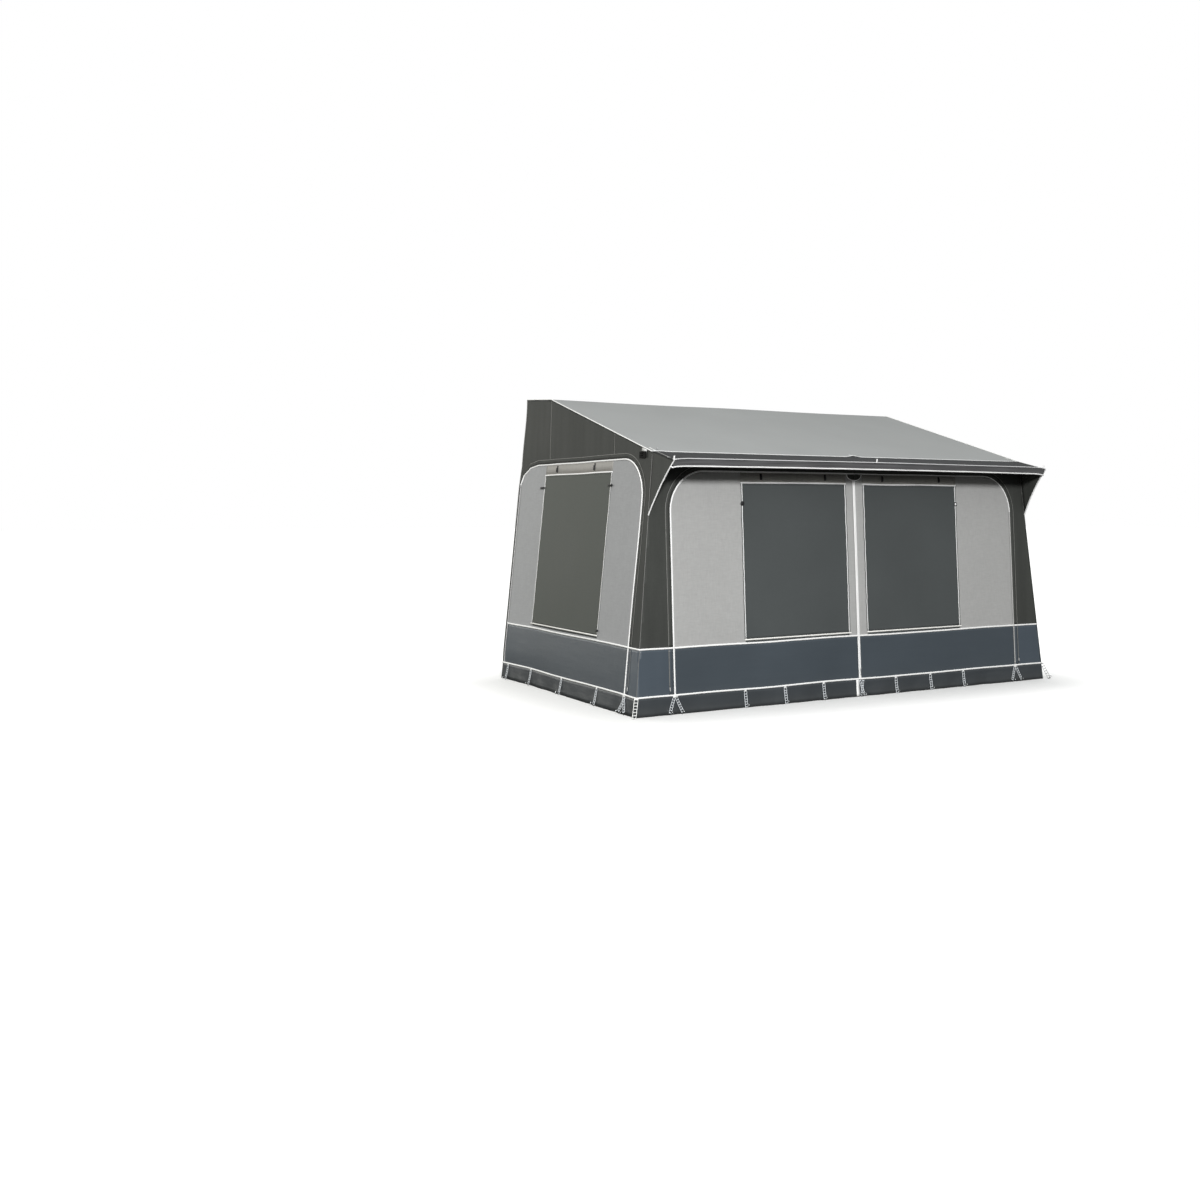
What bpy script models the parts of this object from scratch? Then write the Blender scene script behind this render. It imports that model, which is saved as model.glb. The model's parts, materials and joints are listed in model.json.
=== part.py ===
"""A half-length caravan awning: a telescopic steel frame under a sewn tent of coated cloth.

Metres, +Z up. Seen from the front, +X is to the right and the tent reaches out towards -Y.
The origin is on the ground, at the middle of the whole outline. The tent's open rear is the
plane y = +half_depth, and inside this script a place is given by its reach out from that plane.
"""

import math

import bmesh
import bpy
from mathutils import Matrix, Vector

for old in list(bpy.data.objects):
    bpy.data.objects.remove(old, do_unlink=True)

# Driving dimensions of the tent, in metres
half_width_roof = 1.965
side_lean = 0.21
wall_height = 2.587
break_reach = 0.53
break_fall = 0.042
eave_reach = 2.29
eave_height = 2.0
front_lean = 0.10
canopy_depth = 0.31
canopy_fall = 0.065
valance_height = 0.055
wing_height = 0.484
flap_height = 0.146
band_height = 0.505
half_width_ground = half_width_roof + side_lean
break_height = wall_height - break_fall
ground_reach = eave_reach + front_lean
canopy_reach = eave_reach + canopy_depth
canopy_height = eave_height - canopy_fall
wing_tip_height = eave_height - wing_height

# Cloth and seams
cloth = 0.003
seam = 0.0005
foil_wall = 0.001
blind_wall = 0.0012
weld = 0.00001
arc_steps = 8
round_share = 0.5

half_depth = canopy_reach / 2

# Door panels in the front wall, measured out from the centre zip
front_corner_width = 0.145
header_height = 0.138
front_door_radius = 0.32
front_door_half = half_width_roof - front_corner_width
front_door_top = eave_height - header_height

# Door panels in the side walls, measured out from the rear plane
strip_width = 0.03
side_corner_width = 0.09
side_header_height = 0.04
side_door_radius = 0.33
side_rear_run = 0.28
side_rear_drop = 0.18
gable_seam_setback = 0.59
side_door_front = eave_reach - side_corner_width
side_door_top = eave_height - side_header_height
gable_seam_reach = eave_reach - gable_seam_setback

# Blinds: how far each edge lies in from the zips, the band and the door's top
front_blind_near = 0.09
front_blind_far_inset = 0.66
front_blind_sill = 0.035
front_blind_head_inset = 0.092
side_blind_near_inset = 0.44
side_blind_far_inset = 0.51
side_blind_sill = 0.045
side_blind_head_inset = 0.10
front_blind = (
    front_blind_near,
    front_door_half - front_blind_far_inset,
    band_height + front_blind_sill,
    front_door_top - front_blind_head_inset,
)
side_blind = (
    strip_width + side_blind_near_inset,
    side_door_front - side_blind_far_inset,
    band_height + side_blind_sill,
    side_door_top - side_blind_head_inset,
)
blind_lap = 0.03
hem_bar_radius = 0.005


def front_reach(height):
    """How far the leaning front wall stands out from the rear plane at a height."""
    return ground_reach - front_lean * height / eave_height


def roof_line(reach):
    """Height of the side wall's top edge, which the roof lies on."""
    if reach < break_reach:
        return wall_height + (break_height - wall_height) * reach / break_reach
    share = (min(reach, eave_reach) - break_reach) / (eave_reach - break_reach)
    return break_height + (eave_height - break_height) * share


def canopy_line(reach):
    """Height of the canopy's underside."""
    share = (reach - eave_reach) / (canopy_reach - eave_reach)
    return eave_height + (canopy_height - eave_height) * share


def side_width(reach, height):
    """Half width of the tent: a leaning plane up to the door's top, then up to the roof's edge."""
    if height <= side_door_top:
        return half_width_ground - side_lean * height / eave_height
    fold = half_width_ground - side_lean * side_door_top / eave_height
    share = (height - side_door_top) / (roof_line(reach) - side_door_top)
    return fold + (half_width_roof - fold) * share


front_out = Vector((0, -eave_height, front_lean)).normalized()
front_up = Vector((0, front_lean, eave_height)).normalized()


def side_out(hand):
    return Vector((hand * eave_height, 0, side_lean)).normalized()


def front_place(hand, out=0):
    """Maps (distance from the centre, height) onto the front wall, or a little outside it."""
    return lambda a, b: Vector((hand * a, -front_reach(b), b)) + front_out * out


def side_place(hand, out=0):
    """Maps (reach, height) onto a side wall, or a little outside it."""
    return lambda a, b: Vector((hand * side_width(a, b), -a, b)) + side_out(hand) * out


# The tent stands on an empty in the rear plane
awning = bpy.data.objects.new("awning", None)
bpy.context.scene.collection.objects.link(awning)
awning.location = (0, half_depth, 0)


def finish_material(name, colour, roughness, metallic=0, alpha=1):
    """A plain Principled material with a colour from the photograph, in linear values."""
    material = bpy.data.materials.new(name)
    material.use_nodes = True
    shader = material.node_tree.nodes["Principled BSDF"]
    shader.inputs["Base Color"].default_value = (*colour, 1)
    shader.inputs["Roughness"].default_value = roughness
    shader.inputs["Metallic"].default_value = metallic
    shader.inputs["Alpha"].default_value = alpha
    material.diffuse_color = (*colour, alpha)
    return material


roof_cloth = finish_material("roof_cloth", (0.35, 0.36, 0.35), 0.7)
dark_cloth = finish_material("dark_cloth", (0.07, 0.075, 0.07), 0.8)
canopy_cloth = finish_material("canopy_cloth", (0.14, 0.145, 0.145), 0.75)
light_cloth = finish_material("light_cloth", (0.40, 0.40, 0.39), 0.8)
band_pvc = finish_material("band_pvc", (0.065, 0.08, 0.1), 0.45)
flap_pvc = finish_material("flap_pvc", (0.07, 0.08, 0.09), 0.4)
blind_cloth = finish_material("blind_cloth", (0.075, 0.085, 0.085), 0.7)
clear_foil = finish_material("clear_foil", (0.6, 0.65, 0.65), 0.1, alpha=0.35)
white_trim = finish_material("white_trim", (0.8, 0.8, 0.78), 0.4)
steel = finish_material("steel", (0.5, 0.5, 0.5), 0.35, metallic=1)
clamp_plastic = finish_material("clamp_plastic", (0.02, 0.02, 0.02), 0.5)


def add_piece(name, bm, material, pivot=(0, 0, 0)):
    """Makes a named object of a bmesh whose points are given from the rear plane."""
    pivot = Vector(pivot)
    mesh = bpy.data.meshes.new(name)
    bm.transform(Matrix.Translation(-pivot))
    bm.to_mesh(mesh)
    bm.free()
    mesh.materials.append(material)
    obj = bpy.data.objects.new(name, mesh)
    bpy.context.scene.collection.objects.link(obj)
    obj.parent = awning
    obj.location = pivot
    return obj


def round_shading(obj):
    sharp_angle = math.radians(40)
    obj.data.shade_smooth()
    obj.data.set_sharp_from_angle(angle=sharp_angle)
    return obj


def arc(centre, radii, start, end):
    """Points along a quarter of a circle or an ellipse, with angles in degrees."""
    points = []
    for step in range(arc_steps + 1):
        angle = math.radians(start + (end - start) * step / arc_steps)
        points.append((centre[0] + radii[0] * math.cos(angle), centre[1] + radii[1] * math.sin(angle)))
    return points


def flat_sheet(outline, holes=()):
    """A flat net of triangles in two axes, between an outline and the holes in it."""
    bm = bmesh.new()
    edges = []
    for loop in (outline, *holes):
        verts = [bm.verts.new((a, b, 0)) for a, b in loop]
        edges += [bm.edges.new(pair) for pair in zip(verts, verts[1:] + verts[:1])]
    bmesh.ops.triangle_fill(bm, use_beauty=True, use_dissolve=False, edges=edges)
    return bm


def crease(bm, point, across):
    """Cuts every face where it crosses a line, so that the cloth can fold there."""
    geom = bm.verts[:] + bm.edges[:] + bm.faces[:]
    bmesh.ops.bisect_plane(bm, geom=geom, dist=weld, plane_co=point, plane_no=across)


def lay_on(bm, place):
    """Moves a flat net onto a wall."""
    for vert in bm.verts:
        vert.co = place(vert.co.x, vert.co.y)
    return bm


def several(shapes):
    """One bmesh of several."""
    whole = bmesh.new()
    for shape in shapes:
        mesh = bpy.data.meshes.new("shape")
        shape.to_mesh(mesh)
        shape.free()
        whole.from_mesh(mesh)
        bpy.data.meshes.remove(mesh)
    return whole


def join_nets(*nets):
    """One net of several, welded where their edges meet."""
    whole = several(nets)
    bmesh.ops.remove_doubles(whole, verts=whole.verts, dist=weld)
    return whole


def sew(name, bm, outward, material, wall=cloth, pivot=(0, 0, 0)):
    """Gives a net of the cloth's outer face its thickness, inwards."""
    bmesh.ops.recalc_face_normals(bm, faces=bm.faces)
    facing = sum((face.normal * face.calc_area() for face in bm.faces), Vector())
    if facing.dot(Vector(outward)) < 0:
        bmesh.ops.reverse_faces(bm, faces=bm.faces)
    obj = add_piece(name, bm, material, pivot)
    thickness = obj.modifiers.new("cloth", "SOLIDIFY")
    thickness.thickness = wall
    thickness.offset = -1
    thickness.use_even_offset = True
    return obj


def turned(profile, sides, hollow):
    """Turns a profile of (radius, height) points about Z. A hollow one is a closed loop off the axis."""
    bm = bmesh.new()
    verts = [bm.verts.new((radius, 0, height)) for radius, height in profile]
    edges = [bm.edges.new(pair) for pair in zip(verts, verts[1:])]
    if hollow:
        edges.append(bm.edges.new((verts[-1], verts[0])))
    bmesh.ops.spin(
        bm, geom=verts + edges, axis=(0, 0, 1), cent=(0, 0, 0), steps=sides, angle=math.tau, use_merge=True
    )
    bmesh.ops.remove_doubles(bm, verts=bm.verts, dist=weld)
    bmesh.ops.recalc_face_normals(bm, faces=bm.faces)
    return bm


def along(bm, start, end):
    """Stands a turned shape, made along Z from zero, at start and points it towards end."""
    way = Vector(end) - Vector(start)
    turn = way.to_track_quat("Z", "Y").to_matrix().to_4x4()
    bm.transform(Matrix.Translation(start) @ turn)
    return bm


def tube(start, end, outer, inner, sides):
    length = (Vector(end) - Vector(start)).length
    profile = [(outer, 0), (outer, length), (inner, length), (inner, 0)]
    return along(turned(profile, sides, True), start, end)


def rod(start, end, radius, sides):
    length = (Vector(end) - Vector(start)).length
    profile = [(0, 0), (radius, 0), (radius, length), (0, length)]
    return along(turned(profile, sides, False), start, end)


def extruded(outline, low, high):
    """A prism between two heights on an outline in plan."""
    bm = bmesh.new()
    face = bm.faces.new([bm.verts.new((a, b, low)) for a, b in outline])
    grown = bmesh.ops.extrude_face_region(bm, geom=[face])
    verts = [item for item in grown["geom"] if isinstance(item, bmesh.types.BMVert)]
    bmesh.ops.translate(bm, verts=verts, vec=(0, 0, high - low))
    bmesh.ops.recalc_face_normals(bm, faces=bm.faces)
    return bm


def block(low, high, softened):
    """A box between two corners, with every edge softened."""
    outline = [(low[0], low[1]), (high[0], low[1]), (high[0], high[1]), (low[0], high[1])]
    bm = extruded(outline, low[2], high[2])
    bmesh.ops.bevel(bm, geom=bm.edges[:], offset=softened, affect="EDGES", segments=1, profile=round_share)
    return bm


def fuse(obj, bm):
    """Joins another shape to a piece with a Boolean union, and hides the shape."""
    other = add_piece(obj.name + "_fused", bm, obj.data.materials[0])
    other.hide_render = True
    other.display_type = "WIRE"
    union = obj.modifiers.new("fused", "BOOLEAN")
    union.operation = "UNION"
    union.solver = "EXACT"
    union.object = other
    return obj


hands = {"left": -1, "right": 1}


# The openings in the walls: each piece beside a seam keeps the seam's width off it


def front_door_outline(low, high, inset):
    """One front door between two heights. Only the upper part has the round corner."""
    near, far = inset, front_door_half - inset
    if high < front_door_top:
        return [(near, low + inset), (far, low + inset), (far, high - inset), (near, high - inset)]
    centre = (front_door_half - front_door_radius, front_door_top - front_door_radius)
    radius = front_door_radius - inset
    corner = arc(centre, (radius, radius), 0, 90)
    return [(near, low + inset), (far, low + inset), *corner, (near, high - inset)]


def side_front_corner(inset):
    centre = (side_door_front - side_door_radius, side_door_top - side_door_radius)
    radius = side_door_radius - inset
    return arc(centre, (radius, radius), 0, 90)


def side_rear_corner(inset):
    centre = (strip_width + side_rear_run, side_door_top - side_rear_drop)
    return arc(centre, (side_rear_run - inset, side_rear_drop - inset), 90, 180)


def side_door_outline(low, high, inset):
    near, far = strip_width + inset, side_door_front - inset
    if high < side_door_top:
        return [(near, low + inset), (far, low + inset), (far, high - inset), (near, high - inset)]
    return [(near, low + inset), (far, low + inset), *side_front_corner(inset), *side_rear_corner(inset)]


def rectangle(edges, inset):
    near, far, low, high = edges
    return [
        (near + inset, low + inset),
        (far - inset, low + inset),
        (far - inset, high - inset),
        (near + inset, high - inset),
    ]


# Roof: one sheet from its rail bead, bent where the roof poles bend, down to the eave
rail_bead_radius = 0.004
roof_lap = 0.004
roof_lift = cloth + seam
eyelet_radius = 0.006

# Places of the legs, whose spikes come up through the roof
leg_setback = 0.05
leg_inset = 0.065
leg_reach = eave_reach - leg_setback
leg_spread = half_width_roof - leg_inset
leg_places = {"left": -leg_spread, "centre": 0, "right": leg_spread}
eave_spike_offset = 0.012
eave_spike_reach = leg_reach + eave_spike_offset


def eyelet(x, reach):
    """A round hole for a pole's spike."""
    return arc((x, reach), (eyelet_radius, eyelet_radius), 0, 360)[1:]


def roof_sheet():
    half = half_width_roof + roof_lap
    rear = 2 * rail_bead_radius + seam
    outline = [(-half, rear), (half, rear), (half, eave_reach), (-half, eave_reach)]
    bm = flat_sheet(outline, [eyelet(x, eave_spike_reach) for x in leg_places.values()])
    crease(bm, (0, break_reach, 0), (0, 1, 0))
    return lay_on(bm, lambda a, b: Vector((a, -b, roof_line(b) + roof_lift)))


sew("roof_panel", roof_sheet(), (0, 0, 1), roof_cloth)

bead_height = wall_height + rail_bead_radius + seam
bead_start = Vector((-half_width_roof, -rail_bead_radius, bead_height))
bead_end = Vector((half_width_roof, -rail_bead_radius, bead_height))
bead_sides = 10
round_shading(add_piece("rail_bead", rod(bead_start, bead_end, rail_bead_radius, bead_sides), white_trim))


# Sun canopy over the front wall: a sheet, a hanging valance and a wing at each end
valance_setback = 0.004
valance_reach = canopy_reach - valance_setback
valance_clear = 0.0003
valance_lean = 0.021
valance_wave = 0.0035
valance_waves = 9
valance_columns = 72
wing_hollow = 0.02


def canopy_sheet():
    half = half_width_roof + roof_lap
    start = eave_reach + 2 * seam
    outline = [(-half, start), (half, start), (half, canopy_reach), (-half, canopy_reach)]
    return lay_on(flat_sheet(outline), lambda a, b: Vector((a, -b, canopy_line(b) + roof_lift)))


def valance_sheet():
    """Hangs from the canopy's front edge in soft waves that grow towards the hem."""
    half = half_width_roof - cloth - seam
    bm = bmesh.new()
    bmesh.ops.create_grid(bm, x_segments=valance_columns, y_segments=1, size=1)

    def hang(a, b):
        drop = (1 - b) / 2
        wave = valance_wave * math.sin(math.pi * valance_waves * a) * drop
        height = canopy_line(valance_reach) - valance_clear - valance_height * drop
        return Vector((half * a, valance_lean * drop - valance_reach - wave, height))

    return lay_on(bm, hang)


def wing_sheet(hand):
    """A hollowed triangle from the canopy's end down to a tip on the tent's front corner."""
    top = eave_height - seam
    edge = front_place(hand, 2 * seam)
    inner_top = edge(side_width(eave_reach, top), top)
    tip = edge(side_width(eave_reach, wing_tip_height), wing_tip_height)
    outer = Vector((hand * half_width_roof, -canopy_reach + seam, canopy_height - seam))
    pull = (inner_top - (outer + tip) / 2).normalized() * wing_hollow * 2
    bend = (outer + tip) / 2 + pull
    points = [inner_top]
    for step in range(arc_steps + 1):
        share = step / arc_steps
        points.append(outer * (1 - share) ** 2 + bend * 2 * share * (1 - share) + tip * share**2)
    bm = bmesh.new()
    face = bm.faces.new([bm.verts.new(point) for point in points])
    bmesh.ops.triangulate(bm, faces=[face])
    return bm


canopy_panel = sew("canopy_panel", canopy_sheet(), (0, 0, 1), canopy_cloth)
sew("canopy_valance", valance_sheet(), (0, -1, 0), canopy_cloth)
for side, hand in hands.items():
    sew(f"canopy_wing_{side}", wing_sheet(hand), (hand, 0, 0), dark_cloth)


# Walls: gables, corners and header of dark cloth, with bands and mud flap of coated cloth


def gable_sheet(hand):
    """The wall over a side door and the narrow strip behind the door."""
    front = gable_seam_reach - seam
    rear_corner = side_rear_corner(0)
    outline = [
        (0, flap_height + seam),
        (strip_width, flap_height + seam),
        *rear_corner[::-1],
        (front, side_door_top),
        (front, roof_line(front)),
        (break_reach, break_height),
        (0, wall_height),
    ]
    bm = flat_sheet(outline)
    crease(bm, (0, side_door_top, 0), (0, 1, 0))
    crease(bm, (break_reach, 0, 0), (1, 0, 0))
    return lay_on(bm, side_place(hand))


def corner_sheet(hand):
    """Wraps the front corner, from the gable's seam round to the header."""
    low = band_height + seam
    side_outline = [
        (side_door_front, low),
        (front_reach(low), low),
        (eave_reach, eave_height),
        (gable_seam_reach, roof_line(gable_seam_reach)),
        (gable_seam_reach, side_door_top),
        *side_front_corner(0)[::-1],
    ]
    side_net = flat_sheet(side_outline)
    crease(side_net, (0, side_door_top, 0), (0, 1, 0))
    centre = (front_door_half - front_door_radius, front_door_top - front_door_radius)
    front_outline = [
        (front_door_half, low),
        (side_width(eave_reach, low), low),
        (half_width_roof, eave_height),
        (front_door_half - front_door_radius, eave_height),
        *arc(centre, (front_door_radius, front_door_radius), 90, 0),
    ]
    front_net = flat_sheet(front_outline)
    crease(front_net, (0, side_door_top, 0), (0, 1, 0))
    return join_nets(lay_on(side_net, side_place(hand)), lay_on(front_net, front_place(hand)))


def corner_strip(hand, low, high, side_rear, front_near):
    """A strip round the front corner between two heights."""
    side_outline = [(side_rear, low), (front_reach(low), low), (front_reach(high), high), (side_rear, high)]
    front_outline = [
        (front_near, low),
        (side_width(eave_reach, low), low),
        (side_width(eave_reach, high), high),
        (front_near, high),
    ]
    side_net = lay_on(flat_sheet(side_outline), side_place(hand))
    return join_nets(side_net, lay_on(flat_sheet(front_outline), front_place(hand)))


def header_sheet():
    half = front_door_half - front_door_radius - seam
    outline = [
        (-half, front_door_top + seam),
        (half, front_door_top + seam),
        (half, eave_height),
        (-half, eave_height),
    ]
    return lay_on(flat_sheet(outline), front_place(1))


sew("front_header", header_sheet(), front_out, dark_cloth)
for side, hand in hands.items():
    corner_out = (hand, -1, 0)
    sew(f"gable_{side}", gable_sheet(hand), side_out(hand), dark_cloth)
    sew(f"corner_{side}", corner_sheet(hand), corner_out, dark_cloth)
    band = corner_strip(hand, flap_height + seam, band_height - seam, side_door_front, front_door_half)
    sew(f"corner_band_{side}", band, corner_out, band_pvc)

# The mud flap is one strip round three sides, and it just touches the ground
left_flap, right_flap = [corner_strip(hand, seam, flap_height - seam, 0, 0) for hand in hands.values()]
mud_flap = sew("mud_flap", join_nets(left_flap, right_flap), front_out, flap_pvc)


# Doors: a light panel with a window, a band below it, a foil, a blind and the blind's hem bar


def door(name, place, outward, outline, blind, pivot):
    """One zipped panel of a wall. Its origin is on the seam that it swings about."""
    window = (blind[0] + blind_lap, blind[1] - blind_lap, blind[2] + blind_lap, blind[3] - blind_lap)
    top = front_door_top if name.startswith("front") else side_door_top
    panel = flat_sheet(outline(band_height, top, seam), [rectangle(window, 0)])
    sew(f"{name}_panel", lay_on(panel, place(0)), outward, light_cloth, pivot=pivot)
    band_net = flat_sheet(outline(flap_height, band_height, seam))
    sew(f"{name}_band", lay_on(band_net, place(0)), outward, band_pvc, pivot=pivot)
    foil = flat_sheet(rectangle(window, seam))
    foil_depth = (cloth - foil_wall) / 2
    sew(f"{name}_window", lay_on(foil, place(-foil_depth)), outward, clear_foil, foil_wall, pivot)
    blind_net = flat_sheet(rectangle(blind, 0))
    sew(f"{name}_blind", lay_on(blind_net, place(seam + blind_wall)), outward, blind_cloth, blind_wall, pivot)
    bar_place = place(seam + hem_bar_radius)
    bar_height = blind[2] - hem_bar_radius - seam
    bar = rod(bar_place(blind[0], bar_height), bar_place(blind[1], bar_height), hem_bar_radius, bead_sides)
    round_shading(add_piece(f"{name}_hem_bar", bar, white_trim, pivot))


for side, hand in hands.items():
    front_hinge = front_place(hand)(front_door_half, flap_height)
    side_hinge = side_place(hand)(side_door_front, flap_height)
    door(
        f"front_{side}",
        lambda out, hand=hand: front_place(hand, out),
        front_out,
        front_door_outline,
        front_blind,
        front_hinge,
    )
    door(
        f"side_{side}",
        lambda out, hand=hand: side_place(hand, out),
        side_out(hand),
        side_door_outline,
        side_blind,
        side_hinge,
    )


# Frame: three legs with heads, front poles between them and roof poles back to the rail
pole_radius = 0.0125
pole_wall = 0.001
tube_play = 0.0004
pole_sides = 16
head_half = 0.023
head_drop = 0.05
head_soften = 0.003
head_spike_radius = 0.004
spike_out = 0.022
head_clear = 0.001
sleeve_low = 0.95
sleeve_radius = pole_radius + tube_play + pole_wall
collar_radius = 0.021
collar_height = 0.05
collar_taper = 0.004
leg_insert = 0.40
foot_radius = 0.045
foot_wall = 0.006
foot_cone_radius = 0.02
foot_cone_height = 0.03

slope = (break_height - eave_height) / (eave_reach - break_reach)
slope_length = math.hypot(1, slope)
pole_drop = pole_radius * slope_length + seam
head_top = roof_line(leg_reach + head_half) - head_clear
pole_front = leg_reach - head_half - seam - pole_radius * slope / slope_length
tail_show = 0.19
pole_back = break_reach + tail_show


def under_roof(x, reach):
    """A point on a roof pole's axis, just under the cloth."""
    return Vector((x, -reach, roof_line(reach) - pole_drop))


def leg_sleeve(x):
    """The upper leg tube with its clamp collar, turned in one, under a moulded head."""
    bore = pole_radius + tube_play
    collar_top = sleeve_low + collar_height
    head_low = head_top - head_drop
    profile = [
        (bore, sleeve_low),
        (collar_radius, sleeve_low),
        (collar_radius, collar_top),
        (sleeve_radius, collar_top + collar_taper),
        (sleeve_radius, head_low + head_half),
        (bore, head_low + head_half),
    ]
    bm = turned(profile, pole_sides, True)
    bm.transform(Matrix.Translation((x, -leg_reach, 0)))
    return bm


def leg_head(x):
    """A moulded head that the poles butt against."""
    low = (x - head_half, -leg_reach - head_half, head_top - head_drop)
    high = (x + head_half, -leg_reach + head_half, head_top)
    return block(low, high, head_soften)


def head_spike(x):
    """The spike that stands in the head and comes out through the roof's eyelet."""
    low = head_top - head_drop / 2
    length = roof_line(eave_spike_reach) + spike_out - low
    profile = [
        (0, 0),
        (head_spike_radius, 0),
        (head_spike_radius, length - head_spike_radius),
        (head_spike_radius / 2, length),
        (0, length),
    ]
    bm = turned(profile, pole_sides, False)
    bm.transform(Matrix.Translation((x, -eave_spike_reach, low)))
    return bm


def leg_lower(x):
    """The lower leg tube on its moulded foot."""
    top = sleeve_low + leg_insert
    bore = pole_radius - pole_wall
    profile = [
        (0, 0),
        (foot_radius, 0),
        (foot_radius, foot_wall),
        (foot_cone_radius, foot_wall * 2),
        (pole_radius, foot_cone_height),
        (pole_radius, top),
        (bore, top),
        (bore, foot_cone_height),
        (0, foot_cone_height),
    ]
    bm = turned(profile, pole_sides, False)
    bm.transform(Matrix.Translation((x, -leg_reach, 0)))
    return bm


# Each clamp's lever turns on an upright pin beside the collar
lever_pin = 0.005
lever_reach = collar_radius + seam + lever_pin
lever_length = 0.055
lever_half_wall = 0.003
lever_height = 0.032
lever_tip_kick = 0.006
lever_straight_share = 0.75


def clamp_lever(pin):
    """A blade with a round pin end and a tip that kicks out for the finger."""
    straight = lever_length * lever_straight_share
    outline = [
        *arc((0, 0), (lever_pin, lever_pin), 45, 315),
        (straight, -lever_half_wall),
        (lever_length, lever_tip_kick - lever_half_wall),
        (lever_length, lever_tip_kick + lever_half_wall),
        (straight, lever_half_wall),
    ]
    bm = extruded(outline, -lever_height / 2, lever_height / 2)
    bm.transform(Matrix.Translation(pin))
    return bm


for place_name, x in leg_places.items():
    sleeve = round_shading(add_piece(f"leg_sleeve_{place_name}", leg_sleeve(x), steel))
    fuse(sleeve, leg_head(x))
    fuse(sleeve, head_spike(x))
    foot = Vector((x, -leg_reach, 0))
    round_shading(add_piece(f"leg_lower_{place_name}", leg_lower(x), steel, foot))
    pin = Vector((x, lever_reach - leg_reach, sleeve_low + collar_height / 2))
    round_shading(add_piece(f"leg_lever_{place_name}", clamp_lever(pin), clamp_plastic, pin))

# Front poles lie level between the heads, under the eave
for side, hand in hands.items():
    near = Vector((hand * (head_half + seam), -leg_reach, head_top - pole_drop))
    far = Vector((hand * (leg_spread - head_half - seam), near.y, near.z))
    pole = tube(near, far, pole_radius, pole_radius - pole_wall, pole_sides)
    round_shading(add_piece(f"front_pole_{side}", pole, steel))

# Roof poles with the bent tails that slide in them and hook in at the wall brackets
tail_radius = pole_radius - pole_wall - tube_play * 2
tail_insert = 0.22
bracket_wall = 0.004
bracket_depth = 0.035
bracket_height = 0.07
bracket_cheek = 0.004
tail_bevel_steps = 2


def tail_curve(name, x):
    """A tube bent where the roof bends, from inside the roof pole to the wall bracket."""
    rear_slope = (wall_height - break_height) / break_reach
    end_reach = bracket_wall + seam + pole_radius * rear_slope
    pivot = under_roof(x, break_reach)
    route = [under_roof(x, pole_back + tail_insert), pivot, under_roof(x, end_reach)]
    curve = bpy.data.curves.new(name, "CURVE")
    curve.dimensions = "3D"
    curve.bevel_depth = tail_radius
    curve.bevel_resolution = tail_bevel_steps
    curve.use_fill_caps = True
    spline = curve.splines.new("POLY")
    spline.points.add(len(route) - 1)
    for point, place in zip(spline.points, route):
        point.co = (*(place - pivot), 1)
    curve.materials.append(steel)
    obj = bpy.data.objects.new(name, curve)
    bpy.context.scene.collection.objects.link(obj)
    obj.parent = awning
    obj.location = pivot
    return obj


def wall_bracket(x):
    """A screw-on plate in the rear plane with two cheeks beside the pole's end."""
    inner = tail_radius + seam
    outer = inner + bracket_cheek
    outline = [
        (x - outer, 0),
        (x - outer, -bracket_depth),
        (x - inner, -bracket_depth),
        (x - inner, -bracket_wall),
        (x + inner, -bracket_wall),
        (x + inner, -bracket_depth),
        (x + outer, -bracket_depth),
        (x + outer, 0),
    ]
    high = roof_line(bracket_depth) - seam - cloth
    return extruded(outline, high - bracket_height, high)


for place_name, x in leg_places.items():
    ends = [under_roof(x, pole_front), under_roof(x, pole_back)]
    pole = tube(*ends, pole_radius, pole_radius - pole_wall, pole_sides)
    round_shading(add_piece(f"roof_pole_{place_name}", pole, steel))
    tail_curve(f"roof_pole_tail_{place_name}", x)
    add_piece(f"wall_bracket_{place_name}", wall_bracket(x), clamp_plastic)


# Canopy frame: a bar on three rods that slide in sockets on the front wall
canopy_bar_radius = 0.009
canopy_bar_setback = 0.0225
canopy_bar_end_gap = 0.02
canopy_bar_half = half_width_roof - cloth - canopy_bar_end_gap
socket_radius = 0.009
socket_bore = 0.0068
socket_length = 0.12
rod_radius = 0.006
rod_end_inset = 0.045
rod_start_reach = eave_reach + rod_end_inset
socket_sides = 12
canopy_slope = (eave_height - canopy_height) / (canopy_reach - eave_reach)
canopy_slope_length = math.hypot(1, canopy_slope)
canopy_drop = canopy_bar_radius * canopy_slope_length + seam
socket_start = eave_reach + 2 * seam + socket_radius * canopy_slope / canopy_slope_length
socket_end = socket_start + socket_length


def under_canopy(x, reach):
    return Vector((x, -reach, canopy_line(reach) - canopy_drop))


bar_reach = canopy_reach - canopy_bar_setback
for place_name, x in leg_places.items():
    ends = [under_canopy(x, socket_start), under_canopy(x, socket_end)]
    socket = tube(*ends, socket_radius, socket_bore, socket_sides)
    round_shading(add_piece(f"canopy_socket_{place_name}", socket, steel))
bar_left = under_canopy(-canopy_bar_half, bar_reach)
bar_right = under_canopy(canopy_bar_half, bar_reach)
bar = rod(bar_left, bar_right, canopy_bar_radius, socket_sides)
canopy_bar = add_piece("canopy_bar", bar, steel, bar_left)
rods = [
    rod(under_canopy(x, rod_start_reach), under_canopy(x, bar_reach), rod_radius, socket_sides)
    for x in leg_places.values()
]
fuse(round_shading(canopy_bar), several(rods))


# Spikes of the canopy's poles, each capped with a washer on the canopy's front edge
spike_radius = 0.004
spike_height = 0.02
spike_washer = 0.011
spike_washer_wall = 0.002
spike_sides = 10
canopy_spike_setback = 0.016


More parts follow.
